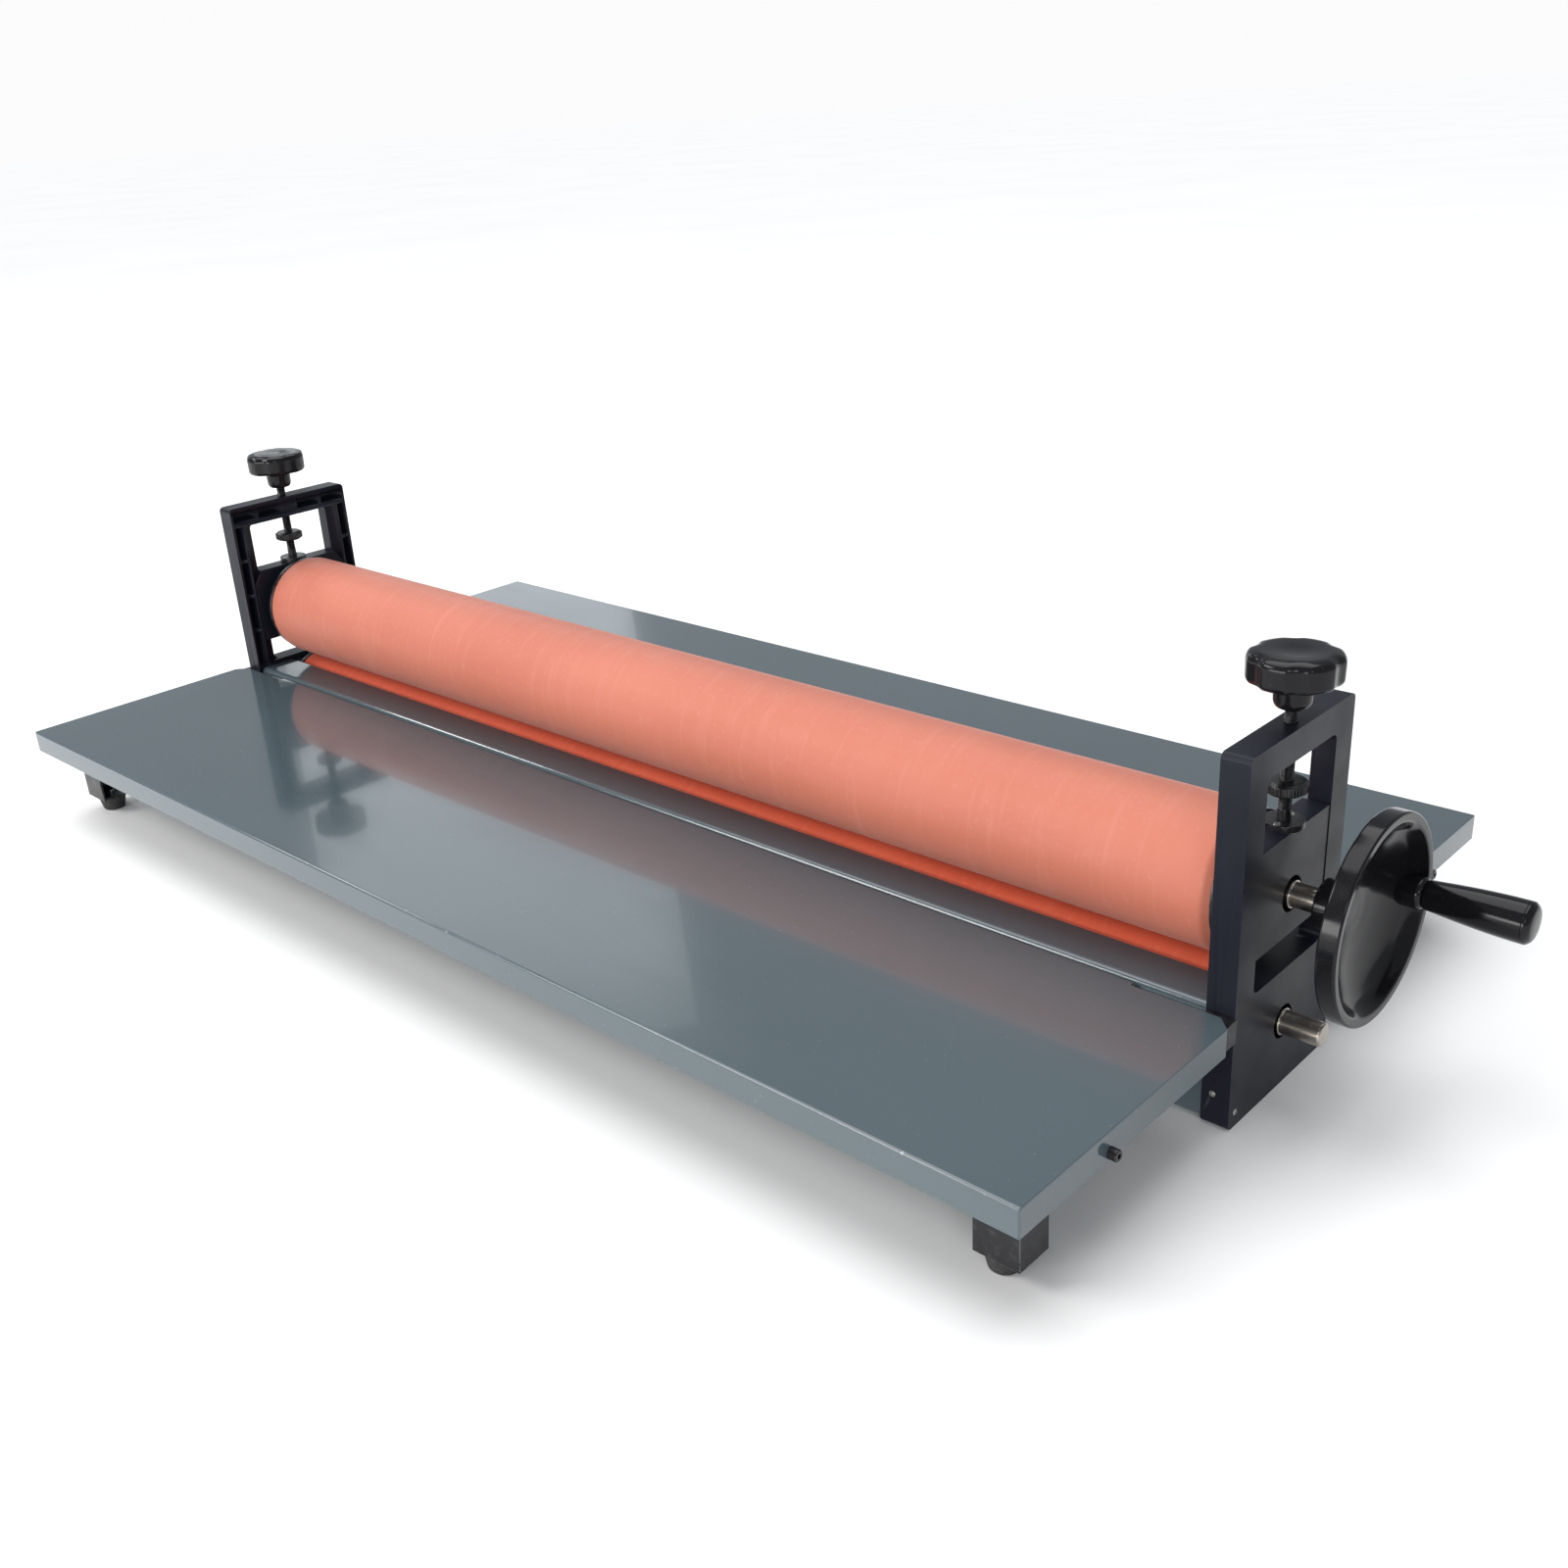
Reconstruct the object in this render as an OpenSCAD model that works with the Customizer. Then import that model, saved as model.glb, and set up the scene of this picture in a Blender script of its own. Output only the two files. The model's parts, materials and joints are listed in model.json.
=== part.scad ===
// Bench-top cold roll laminator: two rubber-covered rollers between two cast
// side frames, a folded base, two feed tables and a handwheel with a crank grip.
// Millimetres. x runs along the rollers with the crank at +x, y runs from the
// front table to the rear table, z is up from the floor. The origin is on the
// floor, under the middle of the rollers.

/* [Rollers] */
// Length of the rubber face of both rollers
roller_len = 996; // [500:1:1300]
// Outer diameter of the upper rubber sleeve
upper_d = 91.6; // [74:0.2:112]
// Outer diameter of the lower rubber sleeve
lower_d = 78; // [62:0.2:96]
// Thickness of the rubber sleeves
sleeve_t = 6; // [4:0.5:9]
// Wall of the steel tubes under the rubber
tube_t = 3; // [2:0.5:5]
// Gap between the two rollers when the screws are right down
nip_gap = 0.3; // [0.3:0.1:1]
// Diameter of both roller shafts in their bearings
shaft_d = 17; // [14:0.5:19]
// Step down in radius from the bearings to the handwheel's seat
seat_step = 1; // [0.5:0.5:2]
// Length of the bevel at the ends of the rubber
sleeve_bevel = 5; // [1:0.5:8]
// Thickness of the steel discs that close the tubes
disc_t = 4; // [3:0.5:5]

/* [Bearings] */
// Outer diameter of the ball bearings
bearing_od = 35; // [32:0.5:40]
// Width of the ball bearings
bearing_b = 10; // [9:0.5:12]
// Diameter of the balls
ball_d = 5; // [4:0.25:5.5]
// Balls in one bearing
ball_count = 10; // [6:1:12]

/* [Side frames] */
// Thickness of each side frame
frame_t = 18; // [17:0.5:24]
// Width of each upright beside the window
side_bar_w = 20.5; // [17:0.5:28]
// Height of the bar above the window
top_bar_h = 18.7; // [14:0.1:26]
// Free height above the bearing block, for lifting the roller
lift_room = 44.7; // [42:0.1:60]
// Free room between the rubber end and each side frame
end_room = 11; // [9:0.5:20]
// Radius of the outer corners of each frame
frame_corner_r = 4; // [2:0.5:8]
// Depth of the pockets in the inner face
pocket_depth = 12; // [6:1:14]

/* [Bearing blocks] */
// Width of the sliding blocks
block_w = 81.4; // [70:0.2:100]
// Height of the blocks above the upper roller axis
block_above = 41.2; // [36:0.1:56]
// Height of the blocks below the upper roller axis
block_below = 26.6; // [24:0.1:30]
// Thickness of the guide flange in the frame's rebate
flange_t = 5; // [3:0.5:6]
// How far the guide flange stands out at each side
flange_out = 8; // [5:0.5:9]

/* [Pressure screws] */
// Diameter of the pressure screws
screw_d = 8; // [6:0.5:10]
// Height of the gap between the knob hub and the frame
knob_gap = 8.5; // [6:0.1:20]
// Diameter of the star knobs
knob_d = 54; // [44:1:64]
// Height of the knob's lobed head
knob_head_h = 18; // [12:0.5:22]
// Height of the knob's hub
knob_hub_h = 15; // [10:0.5:20]
// Diameter of the knob's hub
knob_hub_d = 23; // [18:0.5:28]
// Lobes on a knob
knob_lobes = 6; // [5:1:8]
// Diameter of the lock nuts
nut_d = 25; // [20:0.5:30]
// Height of the lock nuts
nut_h = 8; // [6:0.5:10]
// Height of each lock nut above its thrust collar
nut_lift = 16.5; // [12:0.5:18]
// Diameter of the thrust collars
collar_d = 24; // [22:0.5:28]
// Height of the thrust collars
collar_h = 4; // [3:0.5:6]

/* [Base] */
// Thickness of the base sheet
base_t = 1.8; // [1.2:0.1:3]
// Outer bend radius of the base
base_bend_r = 5; // [4:0.5:8]
// Room between the lower roller and the base floor
roller_room = 4.2; // [3:0.1:10]
// How far the lower roller stands above the base
nip_rise = 5.9; // [4:0.1:9]
// Gap at each side of the lower roller in the base slot
slot_room = 5; // [2:0.5:8]
// Thickness of the end plates in the base
end_plate_t = 3; // [2:0.5:4]

/* [Feed tables] */
// Depth of each table from its frame to its outer edge
table_depth = 208; // [150:1:300]
// Thickness of the table sheet
table_t = 1.5; // [1:0.1:3]
// Depth of the folded table skirt
skirt_h = 18.3; // [15:0.1:24]
// How far the tables stand out beyond the side frames
table_over = 3; // [2:0.5:6]
// Gap between the table ends and the side frames
table_gap = 5; // [4.5:0.5:8]
// Length of the set-back stretch at each table end
notch_len = 67; // [40:1:100]
// Cut corner of each table beside the frame
table_corner = 9; // [4:0.5:14]
// Thickness of the table arms
arm_t = 4; // [3:0.5:6]
// Distance of the table's side screw from the frame
side_screw_reach = 133.5; // [80:0.5:160]

/* [Feet] */
// Height of the rubber feet
foot_h = 12; // [8:0.5:16]
// Top diameter of the rubber feet
foot_d = 23; // [18:0.5:28]
// Distance of each foot bracket from the table end
foot_inset_x = 18; // [14:0.5:40]
// Distance of each foot bracket from the table's outer edge
foot_inset_y = 26.5; // [10:0.5:60]

/* [Handwheel] */
// Diameter of the handwheel
wheel_d = 125; // [100:1:150]
// Width of the handwheel rim
rim_b = 12; // [9:0.5:16]
// Height of the rim section
rim_h = 11; // [8:0.5:14]
// Bare shaft between the side frame and the wheel hub
hub_gap = 18; // [12:0.5:30]
// Length of the hub behind the rim
hub_len = 25; // [18:0.5:34]
// Diameter of the hub
hub_d = 30; // [26:0.5:36]
// Distance of the crank grip from the wheel centre
crank_r = 50; // [42:0.5:52]
// Turn of the crank grip above the horizontal, at rest
crank_angle = -4; // [-90:1:90]

/* [Crank grip] */
// Length of the grip without its end cap
grip_len = 56; // [45:1:80]
// Diameter at the wheel end of the grip
grip_d0 = 17.5; // [16:0.5:22]
// Diameter at the free end of the grip
grip_d1 = 25; // [20:0.5:30]
// Diameter of the grip spindle
spindle_d = 8; // [6:0.5:9]
// Height of the domed end cap
cap_h = 5; // [3:0.5:8]

/* [Lower shaft end] */
// Length of the bare lower shaft beyond the frame, for the spare wheel position
stub_len = 26; // [20:1:40]

/* [Fits] */
// Radial clearance of a turning fit
run_clear = 0.05; // [0.02:0.01:0.1]
// Clearance of a sliding or free gap
slide_clear = 0.3; // [0.3:0.05:0.6]

/* [Hidden] */
$fn = 64;
left = -1;
right = 1;
front = -1;
rear = 1;
cut = 1; // how far a cutter runs past a face

// Colours
frame_paint = [0.13, 0.15, 0.19];
table_paint = [0.24, 0.32, 0.36];
phenolic = [0.05, 0.05, 0.06];
upper_rubber = [0.88, 0.50, 0.38];
lower_rubber = [0.80, 0.33, 0.22];
bright_steel = [0.72, 0.72, 0.70];
black_steel = [0.10, 0.10, 0.11];
foot_rubber = [0.08, 0.08, 0.08];

// Heights
lower_axis_z = base_t + roller_room + lower_d / 2;
base_h = lower_axis_z + lower_d / 2 - nip_rise;
upper_axis_z = lower_axis_z + (lower_d + upper_d) / 2 + nip_gap;
block_z0 = upper_axis_z - block_below;
block_z1 = upper_axis_z + block_above;
window_sill = 4;
window_z0 = base_h + window_sill;
window_z1 = block_z1 + lift_room;
frame_h = window_z1 + top_bar_h;

// Places along the rollers
sleeve_x = roller_len / 2;
disc_x = sleeve_x + disc_t;
frame_x0 = sleeve_x + end_room;
frame_x1 = frame_x0 + frame_t;
bearing_sink = 1; // how far each bearing sits below the frame's inner face
bearing_x0 = frame_x0 + bearing_sink;
bearing_x1 = bearing_x0 + bearing_b;
screw_x = (frame_x0 + frame_x1) / 2;
hub_x0 = frame_x1 + hub_gap;
wheel_x1 = hub_x0 + hub_len + rim_b;
rim_x0 = wheel_x1 - rim_b;

// Side frame and window
window_w = block_w + 2 * slide_clear;
frame_w = window_w + 2 * side_bar_w;
rebate_w = window_w + 2 * flange_out;
rebate_t = flange_t + slide_clear;
window_corner_r = 5;
pocket_rib = 3;
pocket_wall = 2.5;
side_pockets = 4;
screw_wall = 4; // metal left between the pressure screw and the top pockets
arm_screw_depth = 8;
set_screw_len = 6;
set_screw_z = 22;
proud = 0.3; // how far a small flush screw stands out
base_screw_d = 4;

// Shafts and bearings
journal_d = shaft_d + 4;
seat_d = shaft_d - 2 * seat_step;
seat_x0 = frame_x1 + 1;
shaft_bevel = 1;
plug_len = 10; // how far the end discs reach into the tubes
shaft_hole_d = shaft_d + 5;
ball_r = (shaft_d + bearing_od) / 4;
race_t = (bearing_od - shaft_d) / 4 - 0.4 * ball_d;
shield_t = 0.6;

// Base
journal_room = 3;
frame_lip = 2.5; // how far the frames stand out past the base at front and rear
base_w = frame_w - 2 * frame_lip;
slot_w = 2 * (sqrt(pow(lower_d / 2, 2) - pow(base_h - lower_axis_z, 2)) + slot_room);
base_screw_y = base_w / 2 - base_bend_r;
base_screw_z = 10;

// Tables
table_x = frame_x1 + table_over;
table_y0 = frame_w / 2 + table_gap;
table_y1 = table_y0 + table_depth;
table_mid_gap = 3.3; // between the base and the tables' long middle edges
table_mid_y = base_w / 2 + table_mid_gap;
notch_x = table_x - notch_len;
table_floor = base_h - table_t;
arm_h = skirt_h - 3; // the arms stay inside the folded skirt
arm_x1 = table_x - table_t;
arm_x0 = arm_x1 - arm_t;
arm_end_gap = 20;
arm_y1 = table_y1 - arm_end_gap;
side_screw_y = frame_w / 2 + side_screw_reach;
side_screw_rise = 5;
side_screw_end = 2; // thread beyond the arm
side_screw_z = base_h - skirt_h + side_screw_rise;
side_screw_head_d = 7;
side_screw_head_h = 5.5;
arm_screw_x = frame_x0 + 7;
arm_screw_head_d = 7;
arm_screw_head_h = 2;
arm_screw_z = table_floor - arm_h / 2;
arm_screw_d = 4;

// Feet
bracket_t = 2;
bracket_w = 26;
bracket_len = 30;
bracket_x1 = table_x - foot_inset_x;
bracket_x0 = bracket_x1 - bracket_len;
bracket_y1 = table_y1 - foot_inset_y;
bracket_y0 = bracket_y1 - bracket_w;
foot_x = bracket_x0 + foot_d / 2;
foot_y = (bracket_y0 + bracket_y1) / 2;
foot_taper = 2.5;
foot_edge = 1.5;
foot_screw_d = 4;
foot_screw_head_d = 7;
foot_screw_head_h = 2.5;
foot_screw_out = 3; // how far the screw stands out above the bracket's floor

// Pressure screws, from the block up
pocket_d = screw_d + 6;
pocket_h = 4;
block_gap = 0.5; // how far the blocks stay behind the frames' outer faces
wing_drop = 12; // height of the sloping shoulders of the guide flanges
collar_z1 = block_z1 + collar_h;
nut_z0 = collar_z1 + nut_lift;
knob_z0 = frame_h + knob_gap;
knob_z1 = knob_z0 + knob_hub_h;
knob_z2 = knob_z1 + knob_head_h;
screw_top = knob_z1 + 3; // the screw ends inside the knob's head
nut_bevel = 1.5;
lobe_r = 6.5; // radius of the hollows between the lobes
lobe_out = 4.5; // how far their centres lie outside the knob
knob_edge = 2; // bevel under the knob's head
knob_crown = 5; // round shoulder on top of it
knob_dish = 1.5; // depth of the shallow dish in its middle
hub_taper = 1.5;
collar_screw_d = 2.5;
collar_screw_wall = 0.25; // metal left between the screw pocket and the collar's screws
collar_screw_r = (pocket_d + collar_screw_d) / 2 + collar_screw_wall;
collar_screw_depth = 8;
collar_screw_head_d = 4.5;
collar_screw_head_h = 1.6;
collar_screw_sink = 1.8;

// Handwheel and grip
pivot_x = wheel_x1 + 2;
pivot_y = crank_r * cos(crank_angle);
pivot_z = upper_axis_z + crank_r * sin(crank_angle);
boss_d = 20;
boss_back = 2; // how far the grip's boss and spindle stand out behind the rim
rim_corner_r = 4;
web_t = 5;
hub_face = 18; // from the hub's rear end to the bottom of the dish
dish_x = hub_x0 + hub_face;
shaft_x0 = 2 - frame_x1;
shaft_x1 = dish_x - web_t;
wheel_screw_x = hub_x0 + 7;
grip_x0 = pivot_x + slide_clear;
grip_x1 = grip_x0 + grip_len;
spindle_head_d = spindle_d + 4;
spindle_head_h = 3;
spindle_x1 = grip_x1 - 4; // the spindle's head turns in a recess under the cap
cap_plug = 3;
grip_steps = 12;
set_screw_d = 5;

// ---- Helpers ----

// A child drawn for the right side, or mirrored to the left
module on_side(side) mirror([side < 0 ? 1 : 0, 0, 0]) children();

// A child drawn for the rear, or mirrored to the front
module on_end(end) mirror([0, end < 0 ? 1 : 0, 0]) children();

// A flat outline in y and z, drawn out along x
module along_x(x0, x1) translate([x0, 0, 0]) rotate([90, 0, 90]) linear_extrude(x1 - x0) children();

// A round bar along x
module rod_x(x0, x1, d) translate([x0, 0, 0]) rotate([0, 90, 0]) cylinder(h = x1 - x0, d = d);

// A half section in radius and x, turned round the x axis
module turned_x() rotate([0, 90, 0]) rotate_extrude() children();

// A rectangle with round corners
module rounded_rect(w, h, r) {
  square([w, h - 2 * r], center = true);
  square([w - 2 * r, h], center = true);
  for (sx = [-1, 1], sy = [-1, 1])
    translate([sx * (w / 2 - r), sy * (h / 2 - r)]) circle(r);
}

// ---- Side frames ----

module frame_outline() translate([0, frame_h / 2]) rounded_rect(frame_w, frame_h, frame_corner_r);

module window_outline()
  translate([0, (window_z0 + window_z1) / 2])
    rounded_rect(window_w, window_z1 - window_z0, window_corner_r);

// Cast pockets in the uprights and in the top bar
module frame_pockets() {
  y0 = rebate_w / 2 + pocket_rib;
  y1 = frame_w / 2 - pocket_wall;
  pitch = (window_z1 - window_z0 + pocket_rib) / side_pockets;
  for (end = [front, rear]) on_end(end) {
    for (i = [0 : side_pockets - 1])
      translate([frame_x0 - cut, y0, window_z0 + i * pitch])
        cube([pocket_depth + cut, y1 - y0, pitch - pocket_rib]);
    bar_w = (y1 - screw_d - screw_wall) / 2;
    for (i = [0, 1])
      translate([frame_x0 - cut, y1 - bar_w - i * (bar_w + pocket_rib), window_z1 + top_bar_h / 4])
        cube([pocket_depth + cut, bar_w, top_bar_h / 2]);
  }
}

module lower_bearing_seat() translate([0, 0, lower_axis_z]) {
  rod_x(frame_x0 - cut, bearing_x1, bearing_od);
  rod_x(frame_x0, frame_x1 + cut, shaft_hole_d);
}

module base_screw_holes() for (end = [front, rear]) on_end(end)
  translate([0, base_screw_y, base_screw_z])
    rod_x(frame_x0 - end_plate_t - cut, frame_x1 + cut, base_screw_d);

// Blind holes in the narrow faces, for the arm screws and the set screws
module frame_face_holes() for (end = [front, rear]) on_end(end) {
  translate([arm_screw_x, frame_w / 2 + cut, arm_screw_z])
    rotate([90, 0, 0]) cylinder(h = arm_screw_depth + cut, d = arm_screw_d);
  translate([arm_screw_x, frame_w / 2 + cut, set_screw_z])
    rotate([90, 0, 0]) cylinder(h = set_screw_len + cut, d = base_screw_d);
}

module side_frame(side) color(frame_paint) on_side(side) difference() {
  along_x(frame_x0, frame_x1) frame_outline();
  along_x(frame_x0 - cut, frame_x1 + cut) window_outline();
  translate([frame_x0 - cut, -rebate_w / 2, window_z0])
    cube([rebate_t + cut, rebate_w, window_z1 - window_z0]);
  frame_pockets();
  lower_bearing_seat();
  base_screw_holes();
  frame_face_holes();
  translate([screw_x, 0, window_z1 - cut])
    cylinder(h = top_bar_h + 2 * cut, d = screw_d + 2 * run_clear);
}

// ---- Base ----

module base_outline(inset)
  translate([0, base_h / 2])
    rounded_rect(base_w - 2 * inset, base_h - 2 * inset, base_bend_r - inset);

module base_channel() color(table_paint) {
  difference() {
    union() {
      along_x(-frame_x0, frame_x0) difference() {
        base_outline(0);
        base_outline(base_t);
        translate([-slot_w / 2, base_h / 2]) square([slot_w, base_h]);
      }
      for (side = [left, right]) on_side(side)
        along_x(frame_x0 - end_plate_t, frame_x0) base_outline(base_t);
    }
    for (side = [left, right]) on_side(side) {
      base_screw_holes();
      translate([0, 0, lower_axis_z])
        rod_x(frame_x0 - end_plate_t - cut, frame_x0 + cut, journal_d + 2 * journal_room);
    }
  }
}

// ---- Feed tables ----

// Plan of a table; the inner plan leaves the ends open towards the frames
function table_plan(inset, end_inset) = [
  [-table_x + inset, table_y1 - inset],
  [-table_x + inset, table_y0 + table_corner + end_inset],
  [-table_x + table_corner + inset, table_y0 + end_inset],
  [-notch_x - inset, table_y0 + end_inset],
  [-notch_x - inset, table_mid_y + inset],
  [notch_x + inset, table_mid_y + inset],
  [notch_x + inset, table_y0 + end_inset],
  [table_x - table_corner - inset, table_y0 + end_inset],
  [table_x - inset, table_y0 + table_corner + end_inset],
  [table_x - inset, table_y1 - inset]
];

module side_screw_hole() translate([0, side_screw_y, side_screw_z])
  rod_x(arm_x0 - cut, table_x + cut, base_screw_d);

module table(end) color(table_paint) on_end(end) difference() {
  translate([0, 0, base_h - skirt_h]) linear_extrude(skirt_h) polygon(table_plan(0, 0));
  translate([0, 0, base_h - skirt_h - cut])
    linear_extrude(skirt_h - table_t + cut) difference() {
      polygon(table_plan(table_t, -table_gap));
      translate([-notch_x + table_t, table_mid_y - 2 * table_gap])
        square([2 * (notch_x - table_t), 2 * table_gap + table_t]);
    }
  for (side = [left, right]) on_side(side) side_screw_hole();
}

// Flat bar that carries a table, with a tab screwed to the side frame
module table_arm(side, end) color(black_steel) on_side(side) on_end(end) difference() {
  translate([0, 0, table_floor - arm_h]) {
    translate([arm_x0, frame_w / 2, 0]) cube([arm_t, arm_y1 - frame_w / 2, arm_h]);
    translate([bearing_x0, frame_w / 2, 0]) cube([arm_x1 - bearing_x0, arm_t, arm_h]);
  }
  side_screw_hole();
  translate([arm_screw_x, frame_w / 2 + arm_t + cut, arm_screw_z])
    rotate([90, 0, 0]) cylinder(h = arm_t + 2 * cut, d = arm_screw_d);
}

// ---- Feet ----

module foot_bracket(side, end) color(black_steel) on_side(side) on_end(end) difference() {
  translate([bracket_x0, bracket_y0, foot_h]) {
    height = table_floor - foot_h;
    cube([bracket_len, bracket_w, bracket_t]);
    translate([0, 0, height - bracket_t]) cube([bracket_len, bracket_w, bracket_t]);
    translate([bracket_len - bracket_t, 0, 0]) cube([bracket_t, bracket_w, height]);
    translate([0, bracket_w - bracket_t, 0]) cube([bracket_len, bracket_t, height]);
  }
  translate([foot_x, foot_y, foot_h - cut]) cylinder(h = bracket_t + 2 * cut, d = foot_screw_d);
}

module rubber_foot(side, end) color(foot_rubber) on_side(side) on_end(end)
  translate([foot_x, foot_y, 0]) difference() {
    rotate_extrude() polygon([
      [0, 0], [foot_d / 2 - foot_taper - foot_edge, 0], [foot_d / 2 - foot_taper, foot_edge],
      [foot_d / 2, foot_h], [0, foot_h]
    ]);
    translate([0, 0, -cut]) cylinder(h = foot_h / 2 + cut, d = foot_screw_head_d + 2 * slide_clear);
    cylinder(h = foot_h + cut, d = foot_screw_d);
  }

// ---- Fasteners, drawn for both sides and both ends ----

module at_each_corner() for (side = [left, right], end = [front, rear]) on_side(side) on_end(end)
  children();

module foot_screws() color(bright_steel) at_each_corner() translate([foot_x, foot_y, 0]) {
  head_z = foot_h / 2 - foot_screw_head_h;
  translate([0, 0, head_z]) cylinder(h = foot_screw_head_h, d = foot_screw_head_d);
  translate([0, 0, head_z + cut])
    cylinder(h = foot_h + bracket_t + foot_screw_out - head_z - cut, d = foot_screw_d);
}

module table_side_screws() color(black_steel) at_each_corner()
  translate([0, side_screw_y, side_screw_z]) {
    rod_x(arm_x0 - side_screw_end, table_x + cut, base_screw_d);
    rod_x(table_x, table_x + side_screw_head_h, side_screw_head_d);
  }

module arm_screws() color(bright_steel) at_each_corner() translate([arm_screw_x, 0, arm_screw_z]) {
  face_y = frame_w / 2 + arm_t;
  translate([0, face_y + cut, 0])
    rotate([90, 0, 0]) cylinder(h = arm_t + arm_screw_depth, d = arm_screw_d);
  translate([0, face_y + arm_screw_head_h, 0])
    rotate([90, 0, 0]) cylinder(h = arm_screw_head_h, d = arm_screw_head_d);
}

module base_screws() color(bright_steel) at_each_corner()
  translate([0, base_screw_y, base_screw_z])
    rod_x(frame_x0 - end_plate_t - proud, frame_x1 + proud, base_screw_d);

module frame_set_screws() color(bright_steel) at_each_corner()
  translate([arm_screw_x, frame_w / 2 + proud, set_screw_z])
    rotate([90, 0, 0]) cylinder(h = set_screw_len, d = base_screw_d);

// ---- Ball bearings, drawn on the right at height z ----

// Half section of one ring between two radii, with its ball groove
module ring_section(r0, r1) difference() {
  translate([r0, bearing_x0]) square([r1 - r0, bearing_b]);
  translate([ball_r, bearing_x0 + bearing_b / 2]) circle(ball_d / 2 + run_clear);
}

module bearing_outer(side, z) color(bright_steel) on_side(side) translate([0, 0, z]) turned_x() {
  ring_section(bearing_od / 2 - race_t, bearing_od / 2);
  for (x = [bearing_x0 + slide_clear, bearing_x1 - slide_clear - shield_t])
    translate([shaft_d / 2 + race_t + slide_clear, x])
      square([bearing_od / 2 - shaft_d / 2 - 2 * race_t, shield_t]);
}

module bearing_inner(side, z) color(bright_steel) on_side(side) translate([0, 0, z])
  turned_x() ring_section(shaft_d / 2, shaft_d / 2 + race_t);

module bearing_balls(z) color(bright_steel)
  for (side = [left, right], i = [0 : ball_count - 1]) on_side(side)
    translate([bearing_x0 + bearing_b / 2, 0, z]) rotate([i * 360 / ball_count, 0, 0])
      translate([0, ball_r, 0]) sphere(d = ball_d);

// ---- Bearing blocks ----

module flange_outline() polygon([
  [-rebate_w / 2 + slide_clear, block_z0], [rebate_w / 2 - slide_clear, block_z0],
  [rebate_w / 2 - slide_clear, block_z1 - wing_drop], [block_w / 2, block_z1],
  [-block_w / 2, block_z1], [-rebate_w / 2 + slide_clear, block_z1 - wing_drop]
]);

module bearing_block(side) color(frame_paint) on_side(side) difference() {
  union() {
    translate([frame_x0, -block_w / 2, block_z0])
      cube([frame_t - block_gap, block_w, block_z1 - block_z0]);
    along_x(frame_x0, frame_x0 + flange_t) flange_outline();
  }
  translate([0, 0, upper_axis_z]) {
    rod_x(frame_x0 - cut, bearing_x1, bearing_od);
    rod_x(frame_x0, frame_x1 + cut, shaft_hole_d);
  }
  translate([screw_x, 0, block_z1 - pocket_h]) cylinder(h = pocket_h + cut, d = pocket_d);
  for (end = [front, rear]) on_end(end)
    translate([screw_x, collar_screw_r, block_z1 - collar_screw_depth])
      cylinder(h = collar_screw_depth + cut, d = collar_screw_d);
}

module thrust_collar(side) color(black_steel) on_side(side) translate([screw_x, 0, block_z1])
  difference() {
    cylinder(h = collar_h, d = collar_d);
    translate([0, 0, -cut]) cylinder(h = collar_h + 2 * cut, d = screw_d + 2 * run_clear);
    for (end = [front, rear]) on_end(end) translate([0, collar_screw_r, 0]) {
      translate([0, 0, -cut]) cylinder(h = collar_h + 2 * cut, d = collar_screw_d);
      translate([0, 0, collar_h - collar_screw_sink])
        cylinder(h = collar_screw_sink + cut, d = collar_screw_head_d);
    }
  }

module collar_screws() color(bright_steel) at_each_corner()
  translate([screw_x, collar_screw_r, block_z1 - collar_screw_depth]) {
    shank = collar_screw_depth + collar_h - collar_screw_sink;
    cylinder(h = shank, d = collar_screw_d);
    translate([0, 0, shank]) cylinder(h = collar_screw_head_h, d = collar_screw_head_d);
  }

// ---- Pressure screws, knobs and lock nuts ----

module pressure_screw(side) color(black_steel) on_side(side) translate([screw_x, 0, 0]) {
  translate([0, 0, block_z1 - pocket_h + slide_clear])
    cylinder(h = pocket_h - 2 * slide_clear, d = pocket_d - 2 * slide_clear);
  translate([0, 0, block_z1 - cut]) cylinder(h = screw_top - block_z1 + cut, d = screw_d);
}

// Round head with scalloped sides
module knob_outline() difference() {
  circle(d = knob_d);
  for (i = [0 : knob_lobes - 1]) rotate(i * 360 / knob_lobes)
    translate([knob_d / 2 + lobe_out, 0]) circle(lobe_r);
}

module star_knob(side) color(phenolic) on_side(side) translate([screw_x, 0, 0]) difference() {
  union() {
    translate([0, 0, knob_z0])
      cylinder(h = knob_hub_h + cut, d1 = knob_hub_d - 2 * hub_taper, d2 = knob_hub_d);
    intersection() {
      translate([0, 0, knob_z1]) linear_extrude(knob_head_h) knob_outline();
      rotate_extrude() polygon([
        [0, knob_z1], [knob_d / 2 - knob_edge, knob_z1], [knob_d / 2, knob_z1 + knob_edge],
        [knob_d / 2, knob_z2 - knob_crown], [knob_d / 2 - knob_edge, knob_z2 - knob_edge],
        [knob_d / 2 - knob_crown, knob_z2], [knob_d / 4, knob_z2 - knob_dish / 2],
        [0, knob_z2 - knob_dish]
      ]);
    }
  }
  translate([0, 0, knob_z0 - cut]) cylinder(h = screw_top - knob_z0 + cut, d = screw_d);
}

module lock_nut(side) color(black_steel) on_side(side) translate([screw_x, 0, nut_z0])
  difference() {
    rotate_extrude() polygon([
      [0, 0], [nut_d / 2 - nut_bevel, 0], [nut_d / 2, nut_bevel], [nut_d / 2, nut_h - nut_bevel],
      [nut_d / 2 - nut_bevel, nut_h], [0, nut_h]
    ]);
    translate([0, 0, -cut]) cylinder(h = nut_h + 2 * cut, d = screw_d + 2 * run_clear);
  }

// ---- Rollers ----

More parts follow.
